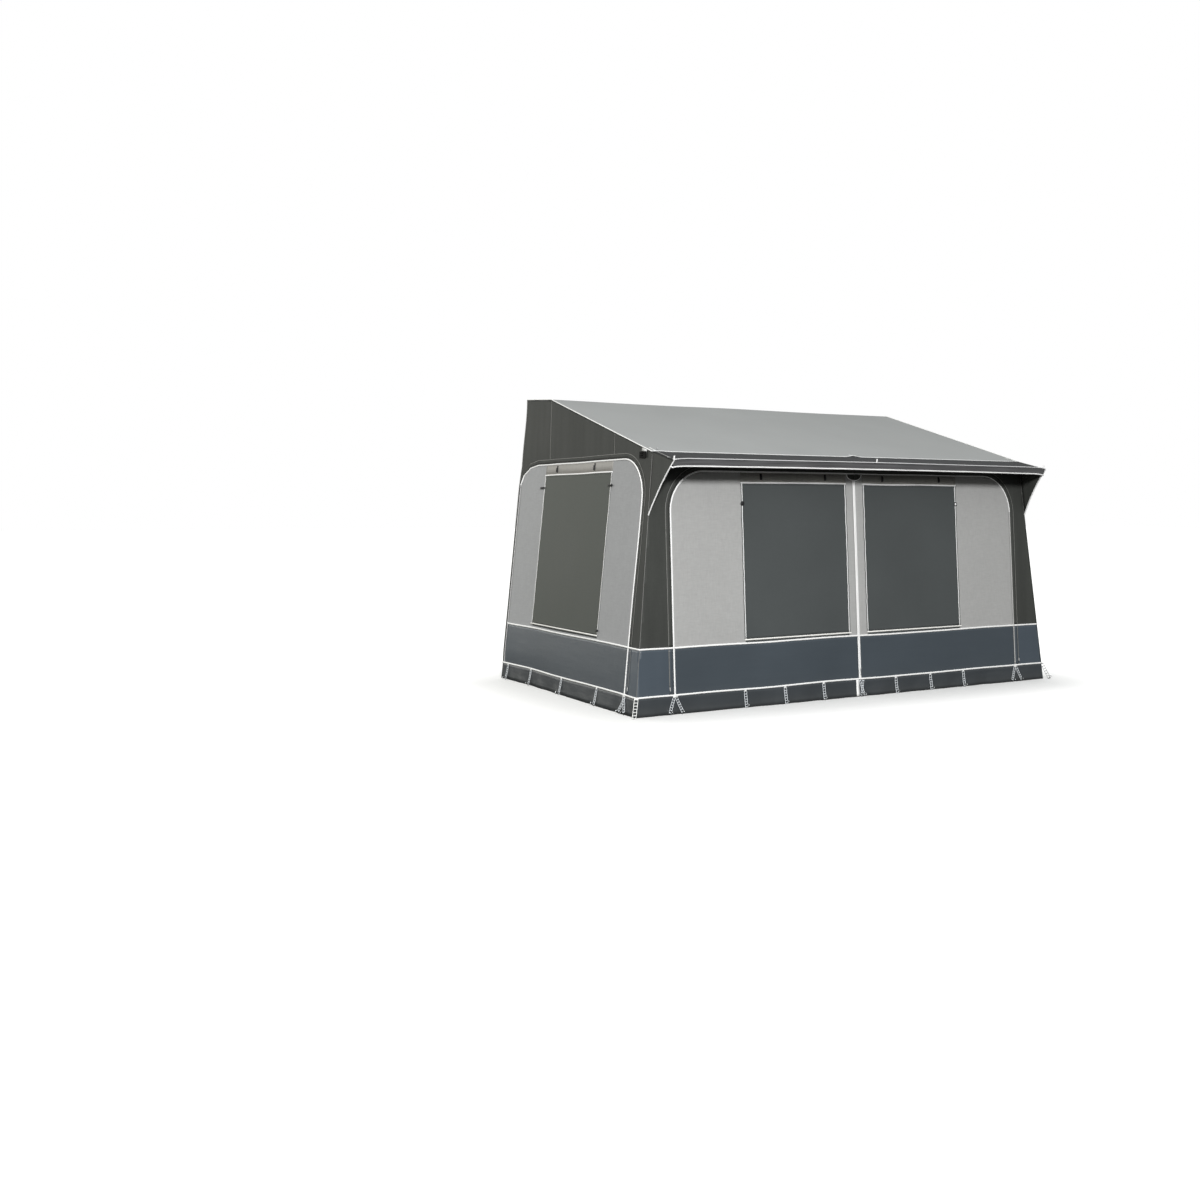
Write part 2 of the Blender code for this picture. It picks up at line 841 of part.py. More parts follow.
def canopy_spike(x):
    """A round washer on the cloth with a rounded pin standing in it."""
    profile = [
        (0, 0),
        (spike_washer, 0),
        (spike_washer, spike_washer_wall),
        (spike_radius, spike_washer_wall * 2),
        (spike_radius, spike_height - spike_radius),
        (spike_radius / 2, spike_height),
        (0, spike_height),
    ]
    front = canopy_reach - canopy_spike_setback
    foot = Vector((x, -front, canopy_line(front) + roof_lift))
    normal = Vector((0, -canopy_slope, 1)).normalized()
    foot -= normal * cloth / 2
    return along(turned(profile, spike_sides, False), foot, foot + normal)


spike_spread = half_width_roof - spike_washer - seam
fuse(canopy_panel, several([canopy_spike(x) for x in (-spike_spread, 0, spike_spread)]))


# Zip slider at the foot of the centre zip, on the right door's edge
slider_width = 0.012
slider_depth = 0.007
slider_height = 0.02
slider_soften = 0.0015
slider_lift = 0.03
pull_width = 0.007
pull_wall = 0.002
pull_length = 0.035


def zip_slider():
    """A slider body with the pull tab hanging in front of its lower edge."""
    low = flap_height + slider_lift
    far = seam + slider_width
    body = block((seam, -slider_depth, pull_length), (far, 0, pull_length + slider_height), slider_soften)
    centre = seam + slider_width / 2
    tab = block(
        (centre - pull_width / 2, -slider_depth / 2 - pull_wall, 0),
        (centre + pull_width / 2, -slider_depth / 2, pull_length + slider_soften * 2),
        pull_wall / 4,
    )
    place = front_place(1, seam)(0, low)
    turn = Matrix((Vector((1, 0, 0)), -front_out, front_up)).transposed().to_4x4()
    for shape in (body, tab):
        shape.transform(Matrix.Translation(place) @ turn)
    return body, tab, place


slider_body, slider_tab, slider_place = zip_slider()
slider = add_piece("zip_slider", slider_body, steel, slider_place)
fuse(slider, slider_tab)


# Rubber peg ladders, sewn to the mud flap and pulled down to the ground
ladder_width = 0.022
ladder_wall = 0.0025
ladder_rail = 0.004
ladder_rung = 0.004
ladder_hole = 0.018
ladder_holes = 5
ladder_low = 0.006
ladder_tilt = math.radians(51.5)
pair_offset = 0.02
pair_splay = math.radians(18)
ladder_pitch = ladder_hole + ladder_rung
ladder_length = ladder_rung + ladder_holes * ladder_pitch
ladder_top = ladder_low + ladder_length * math.sin(ladder_tilt)


def ladder(start, out, turn):
    """A strip of rubber with a row of holes, from its sewn end down and out to the ground."""
    half = ladder_width / 2
    outline = [(-half, 0), (half, 0), (half, ladder_length), (-half, ladder_length)]
    holes = []
    for index in range(ladder_holes):
        low = ladder_rung + index * ladder_pitch
        inner = half - ladder_rail
        holes.append([(-inner, low), (inner, low), (inner, low + ladder_hole), (-inner, low + ladder_hole)])
    bm = flat_sheet(outline, holes)
    bmesh.ops.recalc_face_normals(bm, faces=bm.faces)
    bmesh.ops.solidify(bm, geom=bm.faces[:], thickness=ladder_wall)
    bmesh.ops.recalc_face_normals(bm, faces=bm.faces)
    out = Matrix.Rotation(turn, 3, "Z") @ out
    down = out * math.cos(ladder_tilt) - Vector((0, 0, math.sin(ladder_tilt)))
    across = out.cross(Vector((0, 0, 1)))
    frame = Matrix((across, down, across.cross(down))).transposed().to_4x4()
    bm.transform(Matrix.Translation(start) @ frame)
    return bm


# Places of the ladders, as shares of the front door's width and of the side wall's reach
single_front_shares = (0.214, 0.429, 0.643)
pair_front_shares = (0, 1)
side_ladder_shares = (0.042, 0.222, 0.473, 0.736, 0.904)


def front_ladder(x, turn=0):
    return ladder(front_place(1, -cloth / 2)(x, ladder_top), Vector((0, -1, 0)), turn)


ladders = []
for share in single_front_shares:
    ladders += [front_ladder(front_door_half * share), front_ladder(-front_door_half * share)]
for share in pair_front_shares:
    for centre in sorted({front_door_half * share, -front_door_half * share}):
        ladders.append(front_ladder(centre - pair_offset, -pair_splay))
        ladders.append(front_ladder(centre + pair_offset, pair_splay))
for hand in hands.values():
    for share in side_ladder_shares:
        start = side_place(hand, -cloth / 2)(ground_reach * share, ladder_top)
        ladders.append(ladder(start, Vector((hand, 0, 0)), 0))
fuse(mud_flap, several(ladders))
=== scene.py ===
"""A half-length caravan awning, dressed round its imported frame.

Metres, +Z up. Seen from the front, +X is to the right. A place on the tent is given by its
reach out from the tent's open rear, which is the plane y = rear_y.
"""

import json
import math

import bmesh
import bpy
from mathutils import Matrix, Vector, noise
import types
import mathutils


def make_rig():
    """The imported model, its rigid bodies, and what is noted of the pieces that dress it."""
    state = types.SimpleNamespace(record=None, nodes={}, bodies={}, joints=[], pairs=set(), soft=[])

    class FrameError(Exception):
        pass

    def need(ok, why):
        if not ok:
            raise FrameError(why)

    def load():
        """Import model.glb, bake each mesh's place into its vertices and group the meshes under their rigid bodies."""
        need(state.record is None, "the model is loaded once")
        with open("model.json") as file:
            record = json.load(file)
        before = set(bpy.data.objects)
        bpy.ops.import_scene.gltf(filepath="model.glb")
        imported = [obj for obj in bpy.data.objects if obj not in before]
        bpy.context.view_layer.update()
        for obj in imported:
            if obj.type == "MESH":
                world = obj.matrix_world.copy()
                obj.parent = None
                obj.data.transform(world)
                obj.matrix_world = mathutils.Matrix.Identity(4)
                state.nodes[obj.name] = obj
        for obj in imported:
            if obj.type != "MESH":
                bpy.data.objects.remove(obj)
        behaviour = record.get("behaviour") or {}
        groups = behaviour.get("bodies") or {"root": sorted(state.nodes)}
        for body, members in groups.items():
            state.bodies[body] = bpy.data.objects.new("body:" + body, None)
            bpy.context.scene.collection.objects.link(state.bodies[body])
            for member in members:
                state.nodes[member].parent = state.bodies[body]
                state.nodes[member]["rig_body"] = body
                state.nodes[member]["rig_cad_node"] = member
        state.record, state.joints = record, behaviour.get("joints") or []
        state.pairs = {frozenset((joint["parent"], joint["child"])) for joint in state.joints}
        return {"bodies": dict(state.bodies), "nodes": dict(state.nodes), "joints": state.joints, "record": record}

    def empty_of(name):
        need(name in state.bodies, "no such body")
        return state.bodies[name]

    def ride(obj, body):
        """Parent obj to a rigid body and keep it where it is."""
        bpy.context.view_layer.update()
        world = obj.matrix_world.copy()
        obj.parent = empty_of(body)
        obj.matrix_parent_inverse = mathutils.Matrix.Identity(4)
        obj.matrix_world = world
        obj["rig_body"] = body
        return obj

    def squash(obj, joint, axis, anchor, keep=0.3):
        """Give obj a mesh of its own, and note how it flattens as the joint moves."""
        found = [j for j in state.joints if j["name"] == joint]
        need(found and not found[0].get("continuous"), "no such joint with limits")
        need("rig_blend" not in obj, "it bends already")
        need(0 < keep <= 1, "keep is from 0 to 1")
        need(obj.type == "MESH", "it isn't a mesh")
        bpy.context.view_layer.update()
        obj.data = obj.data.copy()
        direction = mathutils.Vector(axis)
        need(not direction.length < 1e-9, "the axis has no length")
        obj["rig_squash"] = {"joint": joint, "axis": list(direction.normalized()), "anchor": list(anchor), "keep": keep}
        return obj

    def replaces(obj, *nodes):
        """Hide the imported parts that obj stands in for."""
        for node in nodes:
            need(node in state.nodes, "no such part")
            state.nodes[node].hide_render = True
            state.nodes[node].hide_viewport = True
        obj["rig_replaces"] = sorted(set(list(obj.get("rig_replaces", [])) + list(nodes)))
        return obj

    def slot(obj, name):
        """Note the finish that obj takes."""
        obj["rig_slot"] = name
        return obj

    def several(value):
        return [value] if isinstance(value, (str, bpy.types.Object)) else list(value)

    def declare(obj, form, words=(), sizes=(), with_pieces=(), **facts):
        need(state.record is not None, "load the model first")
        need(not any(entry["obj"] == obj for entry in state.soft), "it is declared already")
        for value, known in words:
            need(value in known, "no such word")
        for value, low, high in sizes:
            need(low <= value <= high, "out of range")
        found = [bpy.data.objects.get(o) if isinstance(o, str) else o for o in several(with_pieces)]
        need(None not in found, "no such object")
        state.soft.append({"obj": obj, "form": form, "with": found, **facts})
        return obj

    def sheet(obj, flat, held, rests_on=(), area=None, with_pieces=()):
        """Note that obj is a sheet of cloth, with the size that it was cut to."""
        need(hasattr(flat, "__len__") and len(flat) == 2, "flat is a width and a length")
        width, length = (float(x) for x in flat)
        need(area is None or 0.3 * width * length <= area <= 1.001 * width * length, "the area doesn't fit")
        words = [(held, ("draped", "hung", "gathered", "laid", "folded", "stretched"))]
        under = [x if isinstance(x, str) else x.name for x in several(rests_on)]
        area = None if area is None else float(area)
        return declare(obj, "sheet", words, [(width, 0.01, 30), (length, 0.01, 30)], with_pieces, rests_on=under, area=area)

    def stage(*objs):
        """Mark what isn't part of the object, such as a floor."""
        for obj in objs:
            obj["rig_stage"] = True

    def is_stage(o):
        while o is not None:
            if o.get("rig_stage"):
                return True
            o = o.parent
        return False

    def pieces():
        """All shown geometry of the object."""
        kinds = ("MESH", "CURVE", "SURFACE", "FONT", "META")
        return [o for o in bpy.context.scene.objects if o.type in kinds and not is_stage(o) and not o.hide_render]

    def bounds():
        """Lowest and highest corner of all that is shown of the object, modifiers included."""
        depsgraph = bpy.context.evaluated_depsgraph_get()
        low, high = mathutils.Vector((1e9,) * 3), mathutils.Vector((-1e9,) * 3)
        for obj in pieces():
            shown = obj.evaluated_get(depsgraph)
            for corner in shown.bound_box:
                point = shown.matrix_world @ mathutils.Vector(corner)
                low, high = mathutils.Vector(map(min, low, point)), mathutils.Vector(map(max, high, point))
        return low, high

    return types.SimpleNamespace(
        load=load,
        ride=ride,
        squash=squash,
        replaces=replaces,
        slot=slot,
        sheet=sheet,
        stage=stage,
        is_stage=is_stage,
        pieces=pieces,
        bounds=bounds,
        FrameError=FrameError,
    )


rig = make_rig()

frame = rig.load()
cad_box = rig.bounds()

# Camera and studio. The camera stands off the tent's left front corner, level at eye height,
# with its view shifted down. A white sky, a key light and a fainter one from the left rear stand
# round a pale floor, which glows more with the distance from the tent's foot.
floor_half = 90
foot_middle = (0.15, 0, 0)
foot_half = (2.05, 1.05, 0)


def add_object(name, data):
    obj = bpy.data.objects.new(name, data)
    bpy.context.scene.collection.objects.link(obj)
    return obj


def net_object(name, net, finish):
    """An object made of a bmesh, with one finish."""
    mesh = bpy.data.meshes.new(name)
    net.to_mesh(mesh)
    net.free()
    mesh.materials.append(finish)
    return add_object(name, mesh)


def fill(tree, node, inputs):
    """Gives a node's inputs their values or links."""
    for key, value in inputs.items():
        if isinstance(value, bpy.types.NodeSocket):
            tree.links.new(value, node.inputs[key])
        else:
            node.inputs[key].default_value = value
    return node


def add_node(tree, kind, inputs, **properties):
    node = tree.nodes.new(kind)
    for key, value in properties.items():
        setattr(node, key, value)
    return fill(tree, node, inputs)


def map_range(tree, value, low, high, start=0.0, end=1.0, shape="LINEAR"):
    """Maps a value that runs from start to end onto a range from low to high."""
    inputs = {"Value": value, "From Min": start, "From Max": end, "To Min": low, "To Max": high}
    return add_node(tree, "ShaderNodeMapRange", inputs, interpolation_type=shape).outputs[0]


def mix_colours(tree, factor, first, second):
    return add_node(tree, "ShaderNodeMix", {0: factor, 6: first, 7: second}, data_type="RGBA").outputs[2]


def new_finish(name):
    """A material, with its node tree and its shader."""
    material = bpy.data.materials.new(name)
    material.use_nodes = True
    return material, material.node_tree, material.node_tree.nodes["Principled BSDF"]


def soft_light(name, place, target, size, power, colour=(1, 1, 1)):
    """A square area light that faces a target."""
    light = bpy.data.lights.new(name, "AREA")
    light.size = size
    light.energy = power
    light.color = colour
    lamp = add_object(name, light)
    lamp.location = place
    lamp.rotation_euler = (Vector(target) - Vector(place)).to_track_quat("-Z", "Y").to_euler()
    lamp.visible_camera = False


camera_data = bpy.data.cameras.new("camera")
camera_data.lens = 34.6
camera_data.sensor_width = 36
camera_data.shift_y = -0.0737
camera_data.clip_end = 200
camera = add_object("camera", camera_data)
camera.location = (-6.472, -8.550, 1.544)
camera.rotation_euler = (math.radians(90), 0, math.radians(-28.2))
bpy.context.scene.camera = camera
bpy.context.scene.view_settings.view_transform = "Standard"

sky = bpy.data.worlds.new("studio_sky")
sky.use_nodes = True
sky_tree = sky.node_tree
toward = sky_tree.nodes.new("ShaderNodeTexCoord").outputs["Generated"]
axes = add_node(sky_tree, "ShaderNodeSeparateXYZ", {0: toward}).outputs
upward = map_range(sky_tree, axes["Z"], 0.10, 0.66, -0.15, 0.45, "SMOOTHSTEP")
sideways = map_range(sky_tree, axes["X"], 0.0, 1.0, -1.0, 1.0)
tint = mix_colours(sky_tree, sideways, (1.0, 0.99, 0.93, 1), (0.96, 0.99, 1.0, 1))
lit = fill(sky_tree, sky_tree.nodes["Background"], {"Color": tint, "Strength": upward})
seen = add_node(sky_tree, "ShaderNodeBackground", {"Color": (1, 1, 1, 1)})
camera_ray = sky_tree.nodes.new("ShaderNodeLightPath").outputs["Is Camera Ray"]
either = add_node(sky_tree, "ShaderNodeMixShader", {0: camera_ray, 1: lit.outputs[0], 2: seen.outputs[0]})
fill(sky_tree, sky_tree.nodes["World Output"], {"Surface": either.outputs[0]})
bpy.context.scene.world = sky

soft_light("key_light", (-7.4, -12.6, 6.3), (0.0, -1.0, 1.0), 2.0, 1950)
soft_light("side_light", (-6.6, 6.6, 2.6), (-2.0, 0.2, 1.1), 4.0, 200, (1.0, 0.99, 0.935))

floor_finish, floor_tree, floor_shader = new_finish("pale_floor")
beside = floor_tree.nodes.new("ShaderNodeTexCoord").outputs["Object"]
floor_steps = [("ADD", foot_middle), ("ABSOLUTE", None), ("SUBTRACT", foot_half), ("MAXIMUM", (0, 0, 0))]
for operation, other in (*floor_steps, ("LENGTH", None)):
    inputs = {0: beside, 1: other} if other else {0: beside}
    floor_step = add_node(floor_tree, "ShaderNodeVectorMath", inputs, operation=operation)
    beside = floor_step.outputs["Value" if operation == "LENGTH" else "Vector"]
floor_inputs = {
    "Base Color": (0.90, 0.90, 0.90, 1),
    "Emission Color": (1, 1, 1, 1),
    "Emission Strength": map_range(floor_tree, beside, 0.05, 0.75, 0.02, 1.5, "SMOOTHSTEP"),
    "Roughness": 0.9,
    "Specular IOR Level": 0.1,
}
fill(floor_tree, floor_shader, floor_inputs)
floor_net = bmesh.new()
bmesh.ops.create_grid(floor_net, x_segments=1, y_segments=1, size=floor_half)
floor = net_object("studio_floor", floor_net, floor_finish)
floor.visible_diffuse = False
floor.visible_glossy = False
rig.stage(floor)


# Cloth finishes, shared by every sheet of the tent. Each is a coated polyester: a fine plain
# weave, a yarn that varies a little along its length, faint blotches and soil near the ground.
# The dark cloth also has upright streaks of painted shade and highlight, for the light on long soft folds.
cloth_threads = 700.0
weave_depth = 0.0003
soil_share = 0.35
soil_colour = (0.12, 0.115, 0.10, 1)


def math_node(tree, operation, first, second=0.0, clamp=False):
    inputs = {0: first, 1: second}
    return add_node(tree, "ShaderNodeMath", inputs, operation=operation, use_clamp=clamp).outputs[0]


def bump_node(tree, height, strength, distance, **under):
    inputs = {"Strength": strength, "Distance": distance, "Height": height, **under}
    return add_node(tree, "ShaderNodeBump", inputs).outputs[0]


def start_group(name, values, result):
    """A group that makes one value of a vector and some values. Returns its tree and both ends."""
    tree = bpy.data.node_groups.new(name, "ShaderNodeTree")
    tree.interface.new_socket("Vector", in_out="INPUT", socket_type="NodeSocketVector")
    for value in values:
        tree.interface.new_socket(value, in_out="INPUT", socket_type="NodeSocketFloat")
    tree.interface.new_socket(result, in_out="OUTPUT", socket_type="NodeSocketFloat")
    return tree, tree.nodes.new("NodeGroupInput").outputs, tree.nodes.new("NodeGroupOutput").inputs


def make_weave_group():
    """Height of a plain weave, with a number of threads to the metre."""
    tree, given, wanted = start_group("plain_weave", ["Threads"], "Height")
    axes = add_node(tree, "ShaderNodeSeparateXYZ", {0: given["Vector"]}).outputs
    turns = math_node(tree, "MULTIPLY", given["Threads"], math.tau / 2)
    warp = math_node(tree, "SINE", math_node(tree, "MULTIPLY", axes["X"], turns))
    weft = math_node(tree, "SINE", math_node(tree, "MULTIPLY", axes["Y"], turns))
    crossing = math_node(tree, "MULTIPLY", warp, weft)
    tree.links.new(math_node(tree, "MULTIPLY_ADD", crossing, 0.5), wanted["Height"])
    return tree


def make_yarn_group():
    """Tone from 0 to 1 of yarns that vary along their length."""
    tree, given, wanted = start_group("yarn_tone", ["Across", "Along"], "Tone")
    axes = add_node(tree, "ShaderNodeSeparateXYZ", {0: given["Vector"]}).outputs
    tones = []
    for first, second, layer in (("X", "Y", 0.3), ("Y", "X", 5.3)):
        across = math_node(tree, "MULTIPLY", axes[first], given["Across"])
        along = math_node(tree, "MULTIPLY", axes[second], given["Along"])
        stretched = add_node(tree, "ShaderNodeCombineXYZ", {"X": across, "Y": along, "Z": layer})
        inputs = {"Vector": stretched.outputs[0], "Scale": 1.0, "Detail": 3.0, "Roughness": 0.6}
        tones.append(add_node(tree, "ShaderNodeTexNoise", inputs).outputs[0])
    yarn = math_node(tree, "MULTIPLY", math_node(tree, "ADD", *tones), 0.5)
    tree.links.new(yarn, wanted["Tone"])
    return tree


def make_blotch_group():
    """Broad soft tone from 0 to 1 over a metre or so."""
    tree, given, wanted = start_group("soft_blotches", ["Scale"], "Tone")
    inputs = {"Vector": given["Vector"], "Scale": given["Scale"], "Detail": 2.0}
    tree.links.new(add_node(tree, "ShaderNodeTexNoise", inputs).outputs[0], wanted["Tone"])
    return tree


def make_soil_group():
    """Mask of the dust and splashes that gather below a height."""
    tree, given, wanted = start_group("ground_soil", ["Top"], "Mask")
    height = add_node(tree, "ShaderNodeSeparateXYZ", {0: given["Vector"]}).outputs["Z"]
    share = math_node(tree, "DIVIDE", height, given["Top"])
    low = math_node(tree, "SUBTRACT", 1.0, share, clamp=True)
    inputs = {"Vector": given["Vector"], "Scale": 22.0, "Detail": 5.0, "Roughness": 0.7}
    splash = add_node(tree, "ShaderNodeTexNoise", inputs).outputs[0]
    mask = math_node(tree, "MULTIPLY", math_node(tree, "MULTIPLY", low, low), splash)
    tree.links.new(math_node(tree, "MULTIPLY", mask, soil_share), wanted["Mask"])
    return tree


weave_group = make_weave_group()
yarn_group = make_yarn_group()
blotch_group = make_blotch_group()
soil_group = make_soil_group()


def place_group(tree, group, **inputs):
    return add_node(tree, "ShaderNodeGroup", inputs, node_tree=group).outputs[0]


def stretched_blotches(tree, place, by):
    """Blotches drawn out along an axis, into streaks or creases."""
    scaled = add_node(tree, "ShaderNodeVectorMath", {0: place, 1: by}, operation="MULTIPLY")
    return place_group(tree, blotch_group, Vector=scaled.outputs[0], Scale=1.0)


def toned(colour, by):
    return (*(part * by for part in colour), 1)


def cloth_finish(
    name, colour, roughness, yarn=0.03, blotch=0.02, relief=0.2, gloss=0.5, soil=0.0, streak=0.0, crease=0.0
):
    """A coated cloth.

    Yarn, blotch and the fold shade are how far the tone strays, along the threads, in broad patches
    and in upright streaks. The upright streaks are painted shade and highlight of long soft folds.
    Soil is the height that soil reaches, and crease how deep the creases are.
    """
    material, tree, shader = new_finish(name)
    lie = add_node(tree, "ShaderNodeUVMap", {}, uv_map="cut").outputs["UV"]
    place = tree.nodes.new("ShaderNodeTexCoord").outputs["Object"]
    yarn_tone = place_group(tree, yarn_group, Vector=lie, Across=110.0, Along=16.0)
    blotch_tone = place_group(tree, blotch_group, Vector=place, Scale=1.7)
    spread = yarn + blotch
    tone = math_node(tree, "MULTIPLY", yarn_tone, yarn / spread)
    tone = math_node(tree, "ADD", tone, math_node(tree, "MULTIPLY", blotch_tone, blotch / spread))
    tone = map_range(tree, tone, 0.0, 1.0, 0.3, 0.7)
    shade = mix_colours(tree, tone, toned(colour, 1 - spread), toned(colour, 1 + spread))
    # Upright streaks of painted shade and highlight, in place of the light on long soft folds.
    if streak:
        streaks = stretched_blotches(tree, place, (11.0, 11.0, 1.3))
        strays = map_range(tree, streaks, 1 - streak, 1 + streak, 0.3, 0.7)
        shade = add_node(tree, "ShaderNodeVectorMath", {0: shade, 3: strays}, operation="SCALE").outputs[0]
    if soil:
        shade = mix_colours(tree, place_group(tree, soil_group, Vector=place, Top=soil), shade, soil_colour)
    rough = map_range(tree, blotch_tone, roughness - 0.05, roughness + 0.05)
    weave = place_group(tree, weave_group, Vector=lie, Threads=cloth_threads)
    bump = bump_node(tree, weave, relief, weave_depth)
    if crease:
        bump = bump_node(tree, stretched_blotches(tree, place, (2.6, 2.6, 15.0)), 1.0, crease, Normal=bump)
    inputs = {"Base Color": shade, "Roughness": rough, "Normal": bump, "Specular IOR Level": gloss}
    fill(tree, shader, inputs)
    return material


band_pvc = {"roughness": 0.45, "yarn": 0.01, "blotch": 0.06, "relief": 0.08, "soil": 0.30, "crease": 0.0014}
flap_pvc = {**band_pvc, "blotch": 0.08, "soil": 0.14, "crease": 0.003}
roof_finish = cloth_finish("roof_cloth", (0.335, 0.345, 0.345), 0.6, yarn=0.01, blotch=0.03, gloss=0.3)
# The dark cloth's upright streaks are painted shade and highlight of its folds.
dark_finish = cloth_finish("dark_cloth", (0.0445, 0.047, 0.0430), 0.7, 0.07, 0.05, gloss=0.3, streak=0.10)
# The canopy sheet is the valance's cloth painted much darker: painted shade on its top.
canopy_shaded_finish = cloth_finish("canopy_cloth", (0.027, 0.028, 0.030), 0.65, blotch=0.08, gloss=0.25)
valance_finish = cloth_finish("valance_cloth", (0.105, 0.105, 0.108), 0.6, 0.05, 0.10, gloss=0.3)
light_finish = cloth_finish("light_cloth", (0.375, 0.375, 0.370), 0.8, yarn=0.085, gloss=0.25)
# The side doors' light cloth is the front's cloth painted a little darker and bluer: painted shade.
side_shaded_light_finish = cloth_finish("side_light_cloth", (0.350, 0.356, 0.362), 0.8, yarn=0.085, gloss=0.25)
vent_finish = cloth_finish("vent_cloth", (0.34, 0.33, 0.31), 0.8, 0.10, 0.05, gloss=0.2)
# The blinds are one cloth with painted reflections: the front's is tinted bluish, the side's lighter and olive.
blind_finish = cloth_finish("blind_cloth", (0.060, 0.067, 0.068), 0.65, blotch=0.05, gloss=0.4)
side_blind_tinted_finish = cloth_finish("side_blind_cloth", (0.066, 0.073, 0.064), 0.65, blotch=0.05, gloss=0.4)
band_finish = cloth_finish("band_pvc", (0.050, 0.063, 0.076), **band_pvc)
# The corner bands are the door bands' slate cloth painted lighter and bluer: painted light.
corner_band_lit_finish = cloth_finish("corner_band_pvc", (0.060, 0.077, 0.096), **band_pvc)
flap_finish = cloth_finish("flap_pvc", (0.038, 0.044, 0.050), **flap_pvc)


# Roof: one grey sheet of coated polyester. It hangs from the bead along its rear edge, lies on
# three poles, bends where they bend and sags a little between them.
rear_y = 1.30
half_roof = 1.965
side_lean = 0.21
front_lean = 0.10
wall_height = 2.587
break_reach = 0.53
break_height = 2.545
eave_reach = 2.29
eave_height = 2.0
ground_half = half_roof + side_lean
ground_reach = eave_reach + front_lean
seam = 0.0005
cloth_wall = 0.001
cell = 0.03
pole_places = (-1.90, 0.0, 1.90)
bead_reach = 0.0085
roof_lift = 0.0035
roof_lap = 0.004
roof_sag = 0.007
rail_wave = 0.002
roof_stray = 0.002
roof_peaks = (0.004, 0.013, 0.004)
peak_reach = 2.28


def at(x, reach, height):
    return Vector((x, rear_y - reach, height))


def clamp(share):
    return max(0.0, min(1.0, share))


def bell(distance, spread):
    return math.exp(-((distance / spread) ** 2))


def noise_at(a, b, layer):
    return noise.noise(Vector((a, b, layer)))


def roof_line(reach):
    if reach < break_reach:
        return wall_height + (break_height - wall_height) * reach / break_reach
    share = (min(reach, eave_reach) - break_reach) / (eave_reach - break_reach)
    return break_height + (eave_height - break_height) * share


def rectangle(near, far, low, high):
    return [(near, low), (far, low), (far, high), (near, high)]


def lay_on(net, place):
    for vert in net.verts:
        vert.co = place(vert.co.x, vert.co.y)
    return net


def cut_on(place, outline, size=cell, windows=(), folds=()):
    """A flat cut on a lattice of small cells, laid on a surface.

    Windows are (near, far, low, high). Folds are (axis, place), where the cut has to bend.
    """
    net = bmesh.new()
    net.faces.new([net.verts.new((a, b, 0)) for a, b in outline])
    for axis in (0, 1):
        low = min(point[axis] for point in outline)
        high = max(point[axis] for point in outline)
        exact = [fold for way, fold in folds if way == axis]
        exact += [edge for window in windows for edge in window[2 * axis : 2 * axis + 2]]
        lattice = [size * step for step in range(math.ceil(low / size), math.floor(high / size) + 1)]
        lattice = [line for line in lattice if all(abs(line - other) > size * 0.3 for other in exact)]
        across = Vector((axis == 0, axis == 1, 0))
        for line in sorted(lattice + exact):
            geom = net.verts[:] + net.edges[:] + net.faces[:]
            bmesh.ops.bisect_plane(net, geom=geom, dist=0.00001, plane_co=across * line, plane_no=across)
    for near, far, low, high in windows:
        middles = [(face, face.calc_center_median()) for face in net.faces]
        inside = [face for face, middle in middles if near < middle.x < far and low < middle.y < high]
        bmesh.ops.delete(net, geom=inside, context="FACES")
    lie = net.loops.layers.uv.new("cut")
    for face in net.faces:
        for loop in face.loops:
            loop[lie].uv = loop.vert.co.xy
    return lay_on(net, place)


def fasten(obj, body, slot=None, nodes=()):
    """Rides a piece on its body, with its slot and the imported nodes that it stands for."""
    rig.ride(obj, body)
    if slot:
        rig.slot(obj, slot)
    if nodes:
        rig.replaces(obj, *nodes)
    return obj


def sew(name, net, outward, finish, slot, nodes=(), body="tent", wall=cloth_wall):
    """Makes a sheet of a net of its outer face, with its thickness inwards."""
    bmesh.ops.recalc_face_normals(net, faces=net.faces)
    facing = sum((face.normal * face.calc_area() for face in net.faces), Vector())
    if facing.dot(Vector(outward)) < 0:
        bmesh.ops.reverse_faces(net, faces=net.faces)
    obj = net_object(name, net, finish)
    obj.data.shade_smooth()
    thickness = obj.modifiers.new("cloth", "SOLIDIFY")
    thickness.thickness = wall
    thickness.offset = -1
    thickness.use_even_offset = True
    return fasten(obj, body, slot, nodes)


def declare(obj, held, rests_on, flat=None, with_pieces=()):
    """States the size that a sheet was cut to. A plain cut's own lattice gives it."""
    if flat is None:
        marks = [mark.uv for mark in obj.data.uv_layers["cut"].data]
        flat = [max(mark[axis] for mark in marks) - min(mark[axis] for mark in marks) for axis in (0, 1)]
    flat = (round(flat[0], 3), round(flat[1], 3))
    area = min(sum(face.area for face in obj.data.polygons), flat[0] * flat[1])
    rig.sheet(obj, flat=flat, held=held, rests_on=rests_on, area=area, with_pieces=with_pieces)


def sheet(node, net, outward, finish, slot, rests_on, held="hung", flat=None, body="tent"):
    declare(sew(f"{node}_cloth", net, outward, finish, slot, [node], body), held, rests_on, flat)


def peak(x, reach):
    """How far a leg's spike lifts the cloth."""
    lift = sum(rise * bell(x - pole, 0.05) for rise, pole in zip(roof_peaks, pole_places))
    return lift * bell(reach - peak_reach, 0.045)


def between_poles(x):
    return math.sin(math.pi * min(abs(x) / pole_places[2], 1.0)) ** 2


def on_roof(x, reach, out=0.0):
    """The roof's outer face, with its sag between the poles and its small waves at the rail."""
    between = between_poles(x)
    along = math.sin(math.pi * clamp(reach / eave_reach))
    wave = noise_at(x / 0.11, reach / 0.5, 4.0) * math.exp(-reach / 0.12) * rail_wave
    stray = noise_at(x / 0.5, reach / 0.9, 2.0) * roof_stray * along
    height = roof_line(reach) + roof_lift + peak(x, reach)
    height += wave + stray * between - roof_sag * between * along
    return at(x, reach, height) + Vector((0, 0, out))


